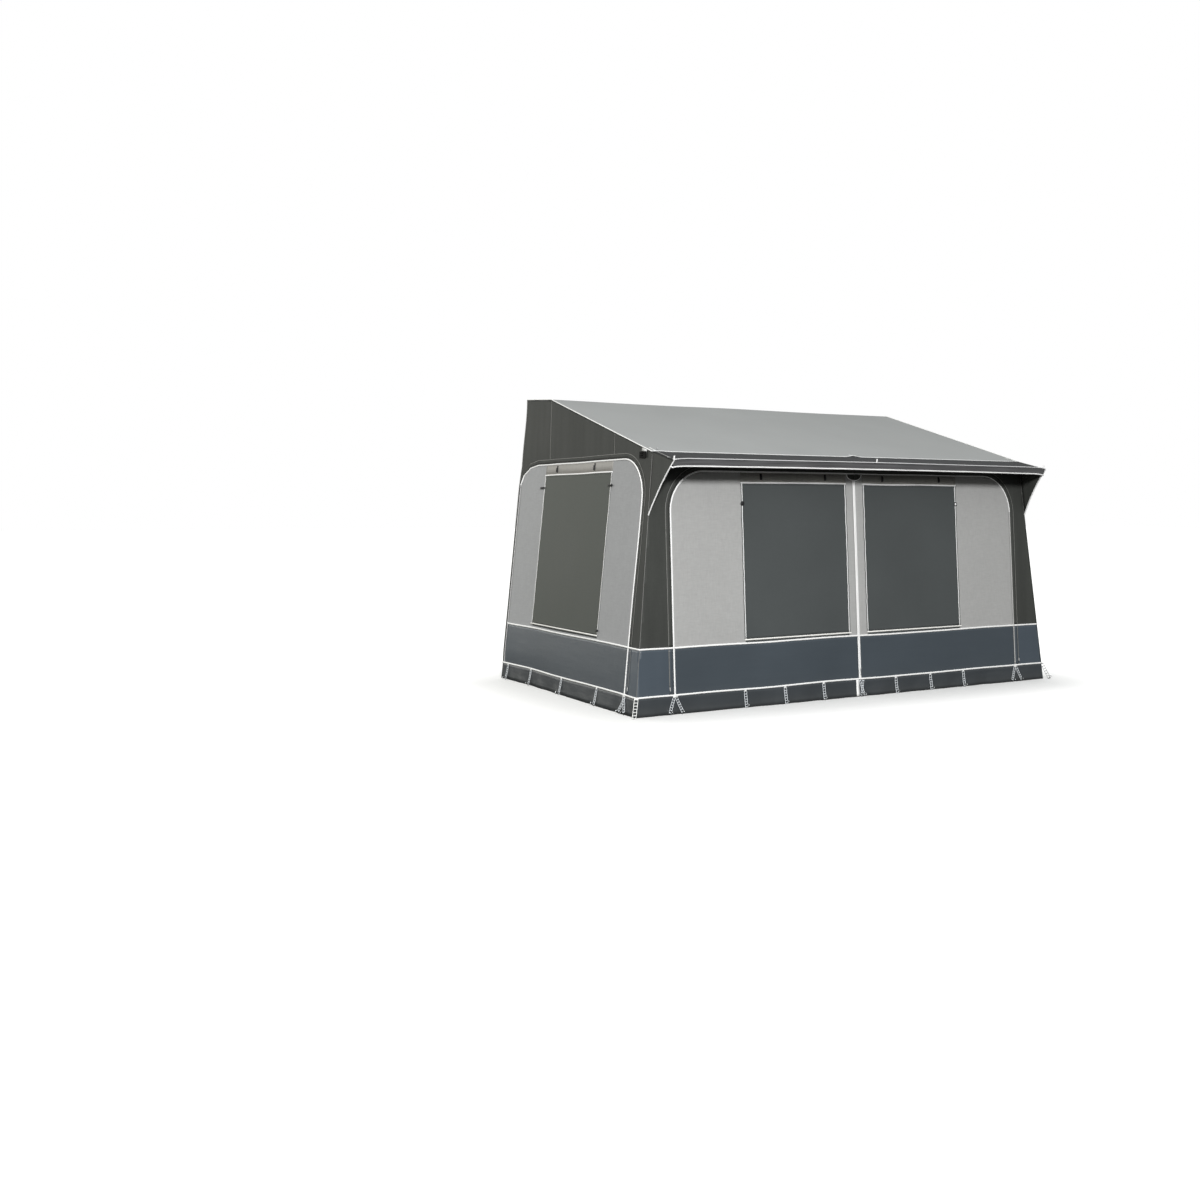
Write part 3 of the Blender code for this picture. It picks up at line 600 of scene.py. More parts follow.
half = half_roof + roof_lap
roof_outline = rectangle(-half, half, bead_reach, eave_reach)
roof_net = cut_on(on_roof, roof_outline, size=0.045, folds=[(1, break_reach)])
roof_length = math.hypot(break_reach, wall_height - break_height)
roof_length += math.hypot(eave_reach - break_reach, break_height - eave_height)
roof_rests = ["rail_bead", "roof_pole_left", "roof_pole_centre", "roof_pole_right", "front_pole_left"]
roof_flat = (2 * half, roof_length)
sheet("roof_panel", roof_net, (0, 0, 1), roof_finish, "roof_cloth", roof_rests, "stretched", roof_flat)


# Pipings: white welts of soft PVC over a cord, sewn into every edge and seam of the tent. Each
# is a tube along its seam, half sunk in the cloth.
piping_radius = 0.0075


def trim_finish(name, colour, roughness, blotch=0.02, metallic=0.0, scale=3.0, grain=400.0, gloss=0.5):
    """Moulded or drawn trim: a faint change of tone and gloss, and a fine grain."""
    material, tree, shader = new_finish(name)
    place = tree.nodes.new("ShaderNodeTexCoord").outputs["Object"]
    tone = place_group(tree, blotch_group, Vector=place, Scale=scale)
    grain_tone = place_group(tree, blotch_group, Vector=place, Scale=grain)
    inputs = {
        "Base Color": mix_colours(tree, tone, toned(colour, 1 - blotch), toned(colour, 1 + blotch)),
        "Roughness": map_range(tree, tone, roughness - 0.08, roughness + 0.08),
        "Normal": bump_node(tree, grain_tone, 0.1, 0.0002),
        "Metallic": metallic,
        "Specular IOR Level": gloss,
    }
    fill(tree, shader, inputs)
    return material


white_finish = trim_finish("white_trim", (0.90, 0.90, 0.895), 0.42, blotch=0.03)
grey_piping = trim_finish("canopy_piping", (0.60, 0.60, 0.61), 0.5, blotch=0.06)
# The roof's front hem is roof cloth painted light grey: a painted highlight along the roof's edge.
roof_hem_highlight_finish = trim_finish("roof_hem", (0.72, 0.73, 0.73), 0.5, blotch=0.04)


def even_steps(path, step=0.02):
    """A path's points, with more between them so that it can follow the cloth."""
    points = [Vector(path[0])]
    for start, end in zip(path, path[1:]):
        start, end = Vector(start), Vector(end)
        count = max(1, round((end - start).length / step))
        points += [start.lerp(end, index / count) for index in range(1, count + 1)]
    return points


def trace(path, place, out=0.0):
    return [place(point.x, point.y, out) for point in even_steps(path)]


def tube_along(name, points, radius=piping_radius, finish=white_finish, slot="white_trim", body="tent"):
    curve = bpy.data.curves.new(name, "CURVE")
    curve.dimensions = "3D"
    curve.bevel_depth = radius
    curve.bevel_resolution = 2
    curve.use_fill_caps = True
    spline = curve.splines.new("POLY")
    spline.points.add(len(points) - 1)
    for mark, point in zip(spline.points, points):
        mark.co = (*point, 1)
    curve.materials.append(finish)
    fasten(add_object(name, curve), body, slot)


def piping(name, path, place, *look, **ride):
    """A tube along a path on a surface, with tube_along's own options."""
    tube_along(name, trace(path, place), *look, **ride)


hands = {"left": -1, "right": 1}
for side, hand in hands.items():
    edge = [(hand * half, reach) for reach in (bead_reach, break_reach, eave_reach)]
    piping(f"roof_edge_piping_{side}", edge, on_roof, 0.0045)
# The front hem carries the roof edge's painted highlight.
eave = [(-half, eave_reach), (half, eave_reach)]
piping("roof_front_hem", eave, on_roof, 0.004, roof_hem_highlight_finish, "roof_cloth")


# Sun canopy: a grey sheet that carries on beyond the eave, the strip that hangs from its edge
# in shallow waves, and a dark wing under each end. Spikes hold it at three places.
canopy_reach = 2.60
canopy_height = 1.935
valance_reach = 2.596
valance_height = 0.053
valance_lean = 0.021
valance_half = 1.9615
valance_waves = 9
valance_wave = 0.0035
valance_stray = 0.0045
valance_clear = 0.0003
canopy_sag = 0.0015
canopy_crown = 0.006
canopy_droop = 0.014
canopy_droop_run = 0.045
canopy_stray = 0.002
side_door_top = 1.96
wing_tip_height = 1.516
wing_hollow = 0.02
wing_sag = 0.0024
wing_stray = 0.003


def ease(share):
    share = clamp(share)
    return share * share * (3 - 2 * share)


def canopy_share(reach):
    """How far a place lies out from the eave, from 0 there to 1 at the canopy's front edge."""
    return (reach - eave_reach) / (canopy_reach - eave_reach)


def canopy_line(reach):
    return eave_height + (canopy_height - eave_height) * canopy_share(reach)


def canopy_edge(x):
    """How far the canopy's front edge stands over its chord: crowned, with drooping ends."""
    droop = canopy_droop * math.exp(-(half - abs(x)) / canopy_droop_run)
    return canopy_crown * (1 - (x / half) ** 2) - droop


def on_canopy(x, reach, out=0.0):
    share = canopy_share(reach)
    stray = noise_at(x / 0.35, reach / 0.12, 9.0) * canopy_stray * math.sin(math.pi * clamp(share))
    stray += canopy_edge(x) * ease(share) + peak(x, reach) - canopy_sag * between_poles(x) * share
    return at(x, reach, canopy_line(reach) + roof_lift + out + stray)


def on_valance(x, drop, out=0.0):
    """Drop goes from 0 at the canopy's edge to 1 at the hem."""
    wave = valance_wave * math.sin(math.pi * valance_waves * x / valance_half) * drop
    wave += valance_stray * noise_at(x / 0.40 + drop * 0.9, drop * 2.6, 6.0) * ease(drop * 3)
    height = canopy_line(valance_reach) - valance_clear + canopy_edge(x) - valance_height * drop
    return at(x, valance_reach + wave - valance_lean * drop + out, height)


net = cut_on(on_canopy, rectangle(-half, half, eave_reach + 0.001, canopy_reach), size=0.04)
flat = (2 * half, math.hypot(canopy_reach - eave_reach, eave_height - canopy_height))
rests = ["canopy_bar", "roof_panel_cloth"]
sheet("canopy_panel", net, (0, 0, 1), canopy_shaded_finish, "canopy_cloth", rests, "stretched", flat)
valance_folds = [(1, drop) for drop in (0.2, 0.4, 0.6, 0.8)]
net = cut_on(on_valance, rectangle(-valance_half, valance_half, 0, 1), size=0.04, folds=valance_folds)
flat = (2 * valance_half, math.hypot(valance_height, valance_lean))
wing_rests = ["canopy_panel_cloth"]
sheet("canopy_valance", net, (0, -1, 0), valance_finish, "canopy_cloth", wing_rests, flat=flat)
front_edge = [(-half, canopy_reach), (half, canopy_reach)]
piping("canopy_front_piping", front_edge, on_canopy, 0.004, grey_piping)


def front_reach(height):
    return ground_reach - front_lean * height / eave_height


def side_width(reach, height):
    """Half width of the tent, a leaning plane that folds at the side door's top."""
    if height <= side_door_top:
        return ground_half - side_lean * height / eave_height
    fold = ground_half - side_lean * side_door_top / eave_height
    return fold + (half_roof - fold) * (height - side_door_top) / (roof_line(reach) - side_door_top)


front_out = Vector((0, -eave_height, front_lean)).normalized()


def fold_at(hand, height):
    """A point of the front corner's fold."""
    return at(hand * side_width(eave_reach, height), front_reach(height), height)


def make_wing(side, hand):
    """The triangle between the eave's corner, the canopy's corner and its tip. Returns its hem."""
    inner = fold_at(hand, eave_height - seam) + front_out * cloth_wall
    tip = fold_at(hand, wing_tip_height) + front_out * cloth_wall
    outer = at(hand * half_roof, canopy_reach - seam, canopy_height - seam - canopy_droop)
    down = (tip - inner).normalized()
    out = down.cross(outer - inner).normalized()
    if out.x * hand < 0:
        out = -out
    ahead = out.cross(down)
    if ahead.dot(outer - inner) < 0:
        ahead = -ahead
    middle = (outer + tip) / 2
    bend = middle + (inner - middle).normalized() * wing_hollow * 2
    flat_points = []
    for step in range(17):
        share = step / 16
        point = outer * (1 - share) ** 2 + bend * 2 * share * (1 - share) + tip * share**2 - inner
        flat_points.append((point.dot(down), point.dot(ahead)))

    def on_wing(a, b):
        belly = math.sin(math.pi * clamp(a / 0.52)) * clamp(b / 0.2)
        stray = noise_at(a / 0.12, b / 0.25, 3.0) * wing_stray * clamp(b / 0.06)
        return inner + down * a + ahead * b + out * (stray - wing_sag * belly)

    wing_net = cut_on(on_wing, [(0, 0), *flat_points])
    sheet(f"canopy_wing_{side}", wing_net, out, dark_finish, "dark_cloth", wing_rests)
    wing_hem = [on_wing(a, b) for a, b in flat_points]
    tube_along(f"wing_piping_{side}", wing_hem, 0.0052)
    return wing_hem


valance_hem = trace([(-valance_half, 1), (valance_half, 1)], on_valance)
left_end = min(make_wing("left", -1), key=lambda point: abs(point.z - valance_hem[0].z))
right_end = min(make_wing("right", 1), key=lambda point: abs(point.z - valance_hem[-1].z))
tube_along("valance_hem_piping", [left_end, *valance_hem, right_end], 0.0062)


def turned(name, profile, place, normal, finish, slot, nodes=(), body="tent", sides=24):
    """A turned part: a profile of (radius, height) carried round its axis and stood on a place."""
    net = bmesh.new()
    rings = {}
    for radius, height in dict.fromkeys(profile):
        angles = [math.tau * step / sides for step in range(sides if radius else 1)]
        points = [(radius * math.cos(angle), radius * math.sin(angle), height) for angle in angles]
        rings[radius, height] = [net.verts.new(point) for point in points]
    for lower, upper in zip(profile, profile[1:]):
        for step in range(sides):
            marks = ((lower, step), (lower, step + 1), (upper, step + 1), (upper, step))
            corners = [rings[mark][index % len(rings[mark])] for mark, index in marks]
            net.faces.new(list(dict.fromkeys(corners)))
    bmesh.ops.recalc_face_normals(net, faces=net.faces)
    turn = Vector(normal).to_track_quat("Z", "Y").to_matrix().to_4x4()
    net.transform(Matrix.Translation(place) @ turn)
    obj = net_object(name, net, finish)
    obj.data.shade_smooth()
    obj.data.set_sharp_from_angle(angle=math.radians(35))
    fasten(obj, body, slot, nodes)


steel = {"blotch": 0.06, "metallic": 1.0, "scale": 9.0, "grain": 900.0}
steel_finish = trim_finish("steel", (0.56, 0.57, 0.58), 0.32, **steel)
# The canopy spikes are the steel painted much lighter: a painted highlight.
highlight_steel = {**steel, "blotch": 0.04, "metallic": 0.5}
spike_highlight_finish = trim_finish("bright_zinc", (0.90, 0.90, 0.90), 0.5, **highlight_steel)
canopy_slope = Vector((0, -(eave_height - canopy_height) / (canopy_reach - eave_reach), 1)).normalized()
roof_slope = Vector((0, -(break_height - eave_height) / (eave_reach - break_reach), 1)).normalized()
spike_profile = [(0, 0), (0.012, 0), (0.012, 0.0015), (0.0112, 0.0024), (0.0068, 0.0036), (0.0056, 0.0052)]
spike_profile += [(0.0056, 0.0255), (0.0048, 0.0280), (0.003, 0.0294), (0, 0.03)]
eyelet_profile = [(0.006, 0), (0.0125, 0), (0.0125, 0.0008), (0.0105, 0.002), (0.0075, 0.002)]
eyelet_profile += [(0.006, 0.0008), (0.006, 0)]
spots = ("left", "centre", "right")
for spot, x in zip(spots, (-1.9535, 0.0, 1.9535)):
    foot = on_canopy(x, 2.584, -0.0012)
    name = f"canopy_spike_{spot}"
    turned(name, spike_profile, foot, canopy_slope, spike_highlight_finish, "steel", ["canopy_panel"])
for spot, x in zip(spots, pole_places):
    foot = on_roof(x, 2.252)
    turned(f"roof_eyelet_{spot}", eyelet_profile, foot, roof_slope, steel_finish, "steel")


# Walls of dark cloth: a gable over each side door with the narrow strip behind the door, a piece
# wrapped round each front corner, and the header over the front doors.
side_door_front = 2.20
strip_width = 0.03
front_door_half = 1.82
front_door_top = 1.862
front_radius = 0.32
side_radius = 0.33
side_rear_run = 0.28
side_rear_drop = 0.18
gable_seam_reach = 1.70
flap_height = 0.146
band_height = 0.505
arc_steps = 18
wall_fold = 0.0022
corner_fold = 0.007
seam_drift = 0.008
side_belly = 0.012
side_flare = 0.048
flare_reach = 0.90
flap_slack = 0.014
corner_flat = (1.27, 1.71)


def arc(centre, radii, start, end):
    points = []
    for step in range(arc_steps + 1):
        angle = math.radians(start + (end - start) * step / arc_steps)
        points.append((centre[0] + radii[0] * math.cos(angle), centre[1] + radii[1] * math.sin(angle)))
    return points


def folds_at(along, height, to_corner, to_top, seed):
    """How far a wall's cloth stands out of its plane: long upright folds, more near a corner."""
    fold = wall_fold * noise_at(along / 0.21, height / 0.85, seed)
    fold += corner_fold * math.exp(-to_corner / 0.22) * noise_at(along / 0.055, height / 0.62, seed + 3)
    slack = flap_slack * max(0.0, 1 - height / flap_height)
    fold += slack * noise_at(along / 0.13, 0.5, seed + 7)
    fold += slack * 0.4 * noise_at(along / 0.045 + height * 3, height / 0.05, seed + 9)
    return fold * ease(to_corner / 0.07) * ease(to_top / 0.10)


def drift(along, height, to_corner, to_top, seed):
    """How far the seams wander up and down along a wall."""
    calm = ease(height / 0.12) * ease(to_corner / 0.3) * ease(to_top / 0.3)
    return seam_drift * calm * noise_at(along / 0.6, height / 1.5, seed)


def front_wall(x, height, out=0.0):
    to_corner = ground_half - side_lean * height / eave_height - abs(x)
    fold = folds_at(x, height, to_corner, eave_height - height, 1.7)
    height += drift(x, height, to_corner, eave_height - height, 8.2)
    return at(x, front_reach(height), height) + front_out * (out + fold)


def front_half(hand):
    """Maps (distance from the centre, height) onto one half of the front wall."""
    return lambda a, b, out=0.0: front_wall(hand * a, b, out)


def side_out(hand):
    return Vector((hand * eave_height, 0, side_lean)).normalized()


def side_wall(hand):
    """Maps (reach, height) onto a side wall, or a little outside it."""
    outward = side_out(hand)

    def place(reach, height, out=0.0):
        to_corner, to_top = front_reach(height) - reach, roof_line(reach) - height
        fold = folds_at(reach, height, to_corner, to_top, 5.3 + hand)
        fold += side_belly * ease(height / 0.3) * ease(to_top / 0.5) * ease(to_corner / 2.4)
        fold += side_flare * max(0.0, 1 - reach / flare_reach) ** 3 * ease(to_top / 0.9)
        height += drift(reach, height, to_corner, to_top, 11.4 + hand)
        return at(hand * side_width(reach, height), reach, height) + outward * (out + fold)

    return place


walls = {}
for side, hand in hands.items():
    walls["side", side] = (side_wall(hand), side_out(hand))
    walls["front", side] = (front_half(hand), front_out)


def join_nets(*nets):
    whole = bmesh.new()
    for net in nets:
        mesh = bpy.data.meshes.new("net")
        net.to_mesh(mesh)
        net.free()
        whole.from_mesh(mesh)
        bpy.data.meshes.remove(mesh)
    bmesh.ops.remove_doubles(whole, verts=whole.verts, dist=0.0001)
    return whole


def wrap_corner(side, side_outline, front_outline, folds=()):
    """A cut on a side wall and one on the front, sewn together along the corner's fold."""
    side_net = cut_on(walls["side", side][0], side_outline, folds=folds)
    return join_nets(side_net, cut_on(walls["front", side][0], front_outline, folds=folds))


def side_front_corner(inset=0.0):
    centre = (side_door_front - side_radius, side_door_top - side_radius)
    return arc(centre, (side_radius - inset, side_radius - inset), 0, 90)


def side_rear_corner(inset=0.0):
    """Three nearly straight runs, as the real seam has."""
    centre = (strip_width + side_rear_run, side_door_top - side_rear_drop)
    return arc(centre, (side_rear_run - inset, side_rear_drop - inset), 90, 180)[::6]


def front_corner(inset=0.0):
    centre = (front_door_half - front_radius, front_door_top - front_radius)
    return arc(centre, (front_radius - inset, front_radius - inset), 0, 90)


wall_rests = ["roof_panel_cloth"]
wall_folds = [(1, side_door_top)]
for side, hand in hands.items():
    surface, outward = walls["side", side]
    low = side_door_top - side_rear_drop
    gable_outline = [(0, low), (strip_width, low), *side_rear_corner()[::-1][1:]]
    gable_front = gable_seam_reach - seam
    gable_outline += [(gable_front, side_door_top), (gable_front, roof_line(gable_seam_reach))]
    gable_outline += [(break_reach, break_height), (0, wall_height)]
    gable_net = cut_on(surface, gable_outline, folds=[*wall_folds, (0, break_reach)])
    sheet(f"gable_{side}", gable_net, outward, dark_finish, "dark_cloth", wall_rests)
    strip_net = cut_on(surface, rectangle(0, strip_width, flap_height + seam, low))
    strip = sew(f"rear_strip_{side}_cloth", strip_net, outward, dark_finish, "dark_cloth", [f"gable_{side}"])
    declare(strip, "hung", [f"gable_{side}_cloth"])

    low = band_height + seam
    side_outline = [(side_door_front, low), (front_reach(low), low), (eave_reach, eave_height)]
    side_outline += [(gable_seam_reach, roof_line(gable_seam_reach)), (gable_seam_reach, side_door_top)]
    side_outline += side_front_corner()[::-1]
    front_outline = [(front_door_half, low), (side_width(eave_reach, low), low), (half_roof, eave_height)]
    front_outline += [(front_door_half - front_radius, eave_height), *front_corner()[::-1]]
    corner_net = wrap_corner(side, side_outline, front_outline, wall_folds)
    corner_out = (hand, -1, 0)
    sheet(f"corner_{side}", corner_net, corner_out, dark_finish, "dark_cloth", wall_rests, flat=corner_flat)

header_half = front_door_half - front_radius - seam
header_net = cut_on(front_wall, rectangle(-header_half, header_half, front_door_top + seam, eave_height))
sheet("front_header", header_net, front_out, dark_finish, "dark_cloth", wall_rests)


# Corner bands and mud flap: slate coated cloth. The bands are the foot of each corner, and the
# flap is one strip round three sides that lies against the ground in slack waves.
corner_band_flat = (0.52, 0.36)
flap_flat = (9.12, flap_height)


def corner_strip(side, low, high, side_rear, front_near):
    """A net round the front corner between two heights."""
    side_outline = [(side_rear, low), (front_reach(low), low), (front_reach(high), high), (side_rear, high)]
    low_half, high_half = side_width(eave_reach, low), side_width(eave_reach, high)
    front_outline = [(front_near, low), (low_half, low), (high_half, high), (front_near, high)]
    return wrap_corner(side, side_outline, front_outline)


for side, hand in hands.items():
    band_net = corner_strip(side, flap_height + seam, band_height - seam, side_door_front, front_door_half)
    look = (corner_band_lit_finish, "band_pvc")
    rests = [f"corner_{side}_cloth"]
    sheet(f"corner_band_{side}", band_net, (hand, -1, 0), *look, rests, flat=corner_band_flat)
flap_net = join_nets(*[corner_strip(side, seam, flap_height - seam, 0, 0) for side in hands])
rests = [f"corner_band_{side}_cloth" for side in hands]
sheet("mud_flap", flap_net, front_out, flap_finish, "flap_pvc", rests, "laid", flap_flat)


def round_corner(side, height, rear, near):
    """A line at one height, from a place on a side wall round the corner to one on the front."""
    side_part = trace([(rear, height), (front_reach(height), height)], walls["side", side][0])
    front_part = trace([(side_width(eave_reach, height), height), (near, height)], walls["front", side][0])
    return [*side_part, *front_part[1:]]


lower_lines = [round_corner(side, flap_height, 0, 0) for side in hands]
tube_along("lower_piping", [*lower_lines[0], *lower_lines[1][-2::-1]])
for side in hands:
    band_line = round_corner(side, band_height, side_door_front, front_door_half)
    tube_along(f"corner_band_piping_{side}", band_line)


# Doors: each is a light panel with a window hole over a slate band, zipped into the dark wall.
# A clear foil fills the hole, and a dark blind hangs over it with a bar in its hem.
blind_lap = 0.03
blind_wall = 0.0012
foil_wall = 0.0006
hem_bar_radius = 0.0062
edging_width = 0.0075
edging_insets = {"front": 0.0105, "side": 0.004}
blinds = {"front": (0.09, 1.16, 0.54, 1.77), "side": (0.47, 1.69, 0.55, 1.86)}
blind_keep = {"front": 0.065, "side": 0.084}
door_tops = {"front": front_door_top, "side": side_door_top}
hinges = {"front": front_door_half, "side": side_door_front}
hinge_tops = {"front": front_door_top - front_radius, "side": side_door_top - side_radius}
piping_starts = {"front": 0.012, "side": strip_width + 0.004}
door_finishes = {"front": (light_finish, blind_finish), "side": (side_shaded_light_finish, side_blind_tinted_finish)}
zip_cover = 0.042

foil_finish, foil_tree, foil_shader = new_finish("window_foil")
foil_place = foil_tree.nodes.new("ShaderNodeTexCoord").outputs["Object"]
foil_tone = place_group(foil_tree, blotch_group, Vector=foil_place, Scale=6.0)
foil_inputs = {
    "Base Color": (0.82, 0.86, 0.86, 1),
    "Transmission Weight": 0.95,
    "IOR": 1.5,
    "Roughness": map_range(foil_tree, foil_tone, 0.02, 0.12),
    "Normal": bump_node(foil_tree, foil_tone, 0.15, 0.004),
}
fill(foil_tree, foil_shader, foil_inputs)

# A grey trim: the pulls on the zip covers, and the front right door's hinge piping, which is the white piping painted
# grey as shade.
dull_piping = trim_finish("dull_piping", (0.46, 0.46, 0.45), 0.5, blotch=0.06)
grey_finish = trim_finish("grey_welt", (0.19, 0.19, 0.18), 0.55, blotch=0.08)
cream_finish = trim_finish("cream_bar", (0.85, 0.84, 0.81), 0.5, blotch=0.03)


def door_outline(wall, low, high):
    """One door between two heights, half a millimetre inside its seams."""
    near = seam if wall == "front" else strip_width + seam
    far = hinges[wall] - seam
    if high < door_tops[wall]:
        return rectangle(near, far, low + seam, high - seam)
    corners = [*front_corner(seam), (near, high - seam)]
    if wall == "side":
        corners = [*side_front_corner(seam), *side_rear_corner(seam)]
    return [(near, low + seam), (far, low + seam), *corners]


def cut_ribbon(path, width):
    """A strip along a path, in the wall's own two axes."""
    points = even_steps([(*point, 0) for point in path])
    net = bmesh.new()
    lie = net.loops.layers.uv.new("cut")
    last, run = None, 0.0
    for index, point in enumerate(points):
        ahead = points[min(index + 1, len(points) - 1)] - points[max(index - 1, 0)]
        across = Vector((-ahead.y, ahead.x, 0)).normalized() * width / 2
        pair = [net.verts.new(point - across), net.verts.new(point + across)]
        if last:
            step = (point - points[index - 1]).length
            face = net.faces.new((last[0], last[1], pair[1], pair[0]))
            for loop, mark in zip(face.loops, rectangle(0, width, run, run + step)):
                loop[lie].uv = mark
            run += step
        last = pair
    return net


def ribbon(name, path, width, wall, finish, slot=None, body="tent", out=0.0012, thick=0.001):
    """A strip sewn on a wall, which is (surface, outward), a little outside its face."""
    surface, outward = wall
    net = lay_on(cut_ribbon(path, width), lambda a, b: surface(a, b, out))
    sew(name, net, outward, finish, slot, body=body, wall=thick)


def rounded_bar(name, start, end, radius, finish, slot, body="tent", nodes=()):
    length = (end - start).length
    profile = [(0, 0), (radius * 0.6, radius * 0.12), (radius * 0.9, radius * 0.5), (radius, radius)]
    profile += [(r, length - h) for r, h in profile[::-1]]
    turned(name, profile, start, end - start, finish, slot, nodes, body, sides=16)


def make_blind(wall, side):
    """The blind with its white edgings, the bar in its hem, and the strips above and below it."""
    name, body = f"{wall}_{side}", f"{wall}_{side}_door"
    surface, outward = walls[wall, side]
    near, far, sill, head = blinds[wall]
    top = door_tops[wall]

    def on_blind(a, b, out=0.0):
        """The blind's outer face. Its free side edges wander a little."""
        edge = math.exp(-min(a - near, far - a) / 0.03)
        a += 0.0025 * edge * noise_at(b / 0.16, a, 7.0)
        a += 0.0050 * edge * noise_at(b / 0.045, a, 17.0)
        curl = 0.0015 * edge * (1 + noise_at(b / 0.1, a, 2.0))
        return surface(a, b, seam + blind_wall + out) + outward * curl

    blind_net = cut_on(on_blind, rectangle(near, far, sill, head), size=0.02)
    shade, node = door_finishes[wall][1], [f"{name}_blind"]
    blind = sew(f"{name}_blind_cloth", blind_net, outward, shade, "blind_cloth", node, body)
    insets = (near + edging_insets[wall], far - edging_insets[wall])
    edges = [cut_ribbon([(a, sill), (a, head)], edging_width) for a in insets]
    edge_net = join_nets(*[lay_on(net, lambda a, b: on_blind(a, b, 0.0012)) for net in edges])
    edging = sew(f"{name}_blind_edging", edge_net, outward, white_finish, "white_trim", body=body)
    declare(blind, "hung", [f"{name}_panel_cloth"], with_pieces=[edging])
    lean = (0, front_lean) if wall == "front" else (-hands[side] * side_lean, 0)
    up = Vector((*lean, eave_height)).normalized()
    for piece in (blind, edging):
        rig.squash(piece, f"{name}_blind_roll", axis=up, anchor=surface(near, head), keep=blind_keep[wall])
    bar_height = sill - hem_bar_radius - seam
    bar_out = seam + hem_bar_radius + 0.0025
    ends = [surface(a, bar_height, bar_out) for a in (near - 0.004, far + 0.004)]
    # A dark strip of blind cloth just under the hem bar.
    under_bar = [(near + 0.01, bar_height - 0.013), (far - 0.01, bar_height - 0.013)]
    ribbon(f"{name}_under_bar_strip", under_bar, 0.013, walls[wall, side], blind_finish, "blind_cloth", body)
    vent, width = [(near, (head + top) / 2), (far, (head + top) / 2)], top - head - 0.014
    flush = {"out": 0.001, "thick": 0.0008}
    ribbon(f"{name}_vent_strip", vent, width, walls[wall, side], vent_finish, "light_cloth", body, **flush)
    bar_name, node = f"{name}_hem_bar_capped", [f"{name}_hem_bar"]
    rounded_bar(bar_name, *ends, hem_bar_radius, cream_finish, "white_trim", f"{name}_hem", node)
    head_line = trace([(near, head + 0.004), (far, head + 0.004)], surface, 0.002)
    tube_along(f"{name}_blind_head_piping", head_line, body=body)


def trim_door(wall, side):
    """The door's pipings, and the covers over the zips beside its outer seam and over its top."""
    name, body = f"{wall}_{side}", f"{wall}_{side}_door"
    surface = walls[wall, side][0]
    hinge = hinges[wall]
    seam_piping, opening_piping = (piping_radius, white_finish), (piping_radius, white_finish)
    # The front right door's hinge piping is thinner, with painted shade in its grey.
    if name == "front_right":
        seam_piping, opening_piping = (0.0045, dull_piping), (0.0048, white_finish)
    hinge_line = [(hinge, flap_height), (hinge, hinge_tops[wall])]
    piping(f"{name}_hinge_piping", hinge_line, surface, *seam_piping, body=body)
    band_line = [(piping_starts[wall], band_height), (hinge - 0.008, band_height)]
    piping(f"{name}_band_piping", band_line, surface, body=body)
    if wall == "front":
        opening = [*front_corner(), (0, front_door_top)]
    else:
        opening = [*side_front_corner(), *side_rear_corner()]
        rear_seam = [opening[-1], (strip_width, flap_height)]
        piping(f"{name}_rear_seam", rear_seam, surface, 0.0035, grey_piping)
    piping(f"{name}_opening_piping", opening, surface, *opening_piping)

    def cover_path(offset, low):
        """Runs beside the hinge seam and over the door's top."""
        if wall == "front":
            return [(hinge + offset, low), *front_corner(-offset), (0, front_door_top + offset)]
        rear = [point for point in side_rear_corner(-offset) if point[0] > strip_width]
        return [(hinge + offset, low), *side_front_corner(-offset), *rear]

    def foot_path(offset, low):
        return [(hinge + offset, low), (hinge + offset, band_height - 0.008)]

    high, low = band_height + 0.008, flap_height + 0.008
    middle, edge = zip_cover / 2 + 0.007, zip_cover + 0.003
    cover_rows = (
        ("zip_cover", cover_path(middle, high), zip_cover, dark_finish, "dark_cloth", 0.0022, 0.0012),
        ("zip_cover_foot", foot_path(middle, low), zip_cover, band_finish, "band_pvc", 0.0022, 0.0012),
        ("cover_edge", cover_path(edge, high), 0.005, grey_finish, "dark_cloth", 0.0030, 0.0010),
        ("cover_edge_foot", foot_path(edge, low + 0.05), 0.006, grey_finish, "white_trim", 0.0030, 0.0010),
    )
    for part, path, width, finish, slot, out, thick in cover_rows:
        ribbon(f"{name}_{part}", path, width, walls[wall, side], finish, slot, out=out, thick=thick)
    pull = [surface(hinge + edge, b, 0.006) for b in (low + 0.055, low + 0.025)]
    rounded_bar(f"{name}_cover_pull", *pull, 0.0035, dull_piping, "white_trim")


def make_door(wall, side):
    name, body = f"{wall}_{side}", f"{wall}_{side}_door"
    surface, outward = walls[wall, side]
    near, far, sill, head = blinds[wall]
    window = (near + blind_lap, far - blind_lap, sill + blind_lap, head - blind_lap)
    panel_net = cut_on(surface, door_outline(wall, band_height, door_tops[wall]), windows=[window])
    hanger = ["front_header_cloth"] if wall == "front" else [f"gable_{side}_cloth"]
    sheet(f"{name}_panel", panel_net, outward, door_finishes[wall][0], "light_cloth", hanger, body=body)
    band_net = cut_on(surface, door_outline(wall, flap_height, band_height))
    panel = [f"{name}_panel_cloth"]
    sheet(f"{name}_band", band_net, outward, band_finish, "band_pvc", panel, body=body)
    foil_outline = rectangle(window[0] + seam, window[1] - seam, window[2] + seam, window[3] - seam)
    foil_net = cut_on(lambda a, b: surface(a, b, -0.0002), foil_outline, size=0.06)
    foil_name, foil_node = f"{name}_window_foil", [f"{name}_window"]
    foil = sew(foil_name, foil_net, outward, foil_finish, "window_foil", foil_node, body, foil_wall)
    declare(foil, "stretched", panel)
    make_blind(wall, side)
    trim_door(wall, side)


for side in hands:
    make_door("front", side)
    make_door("side", side)


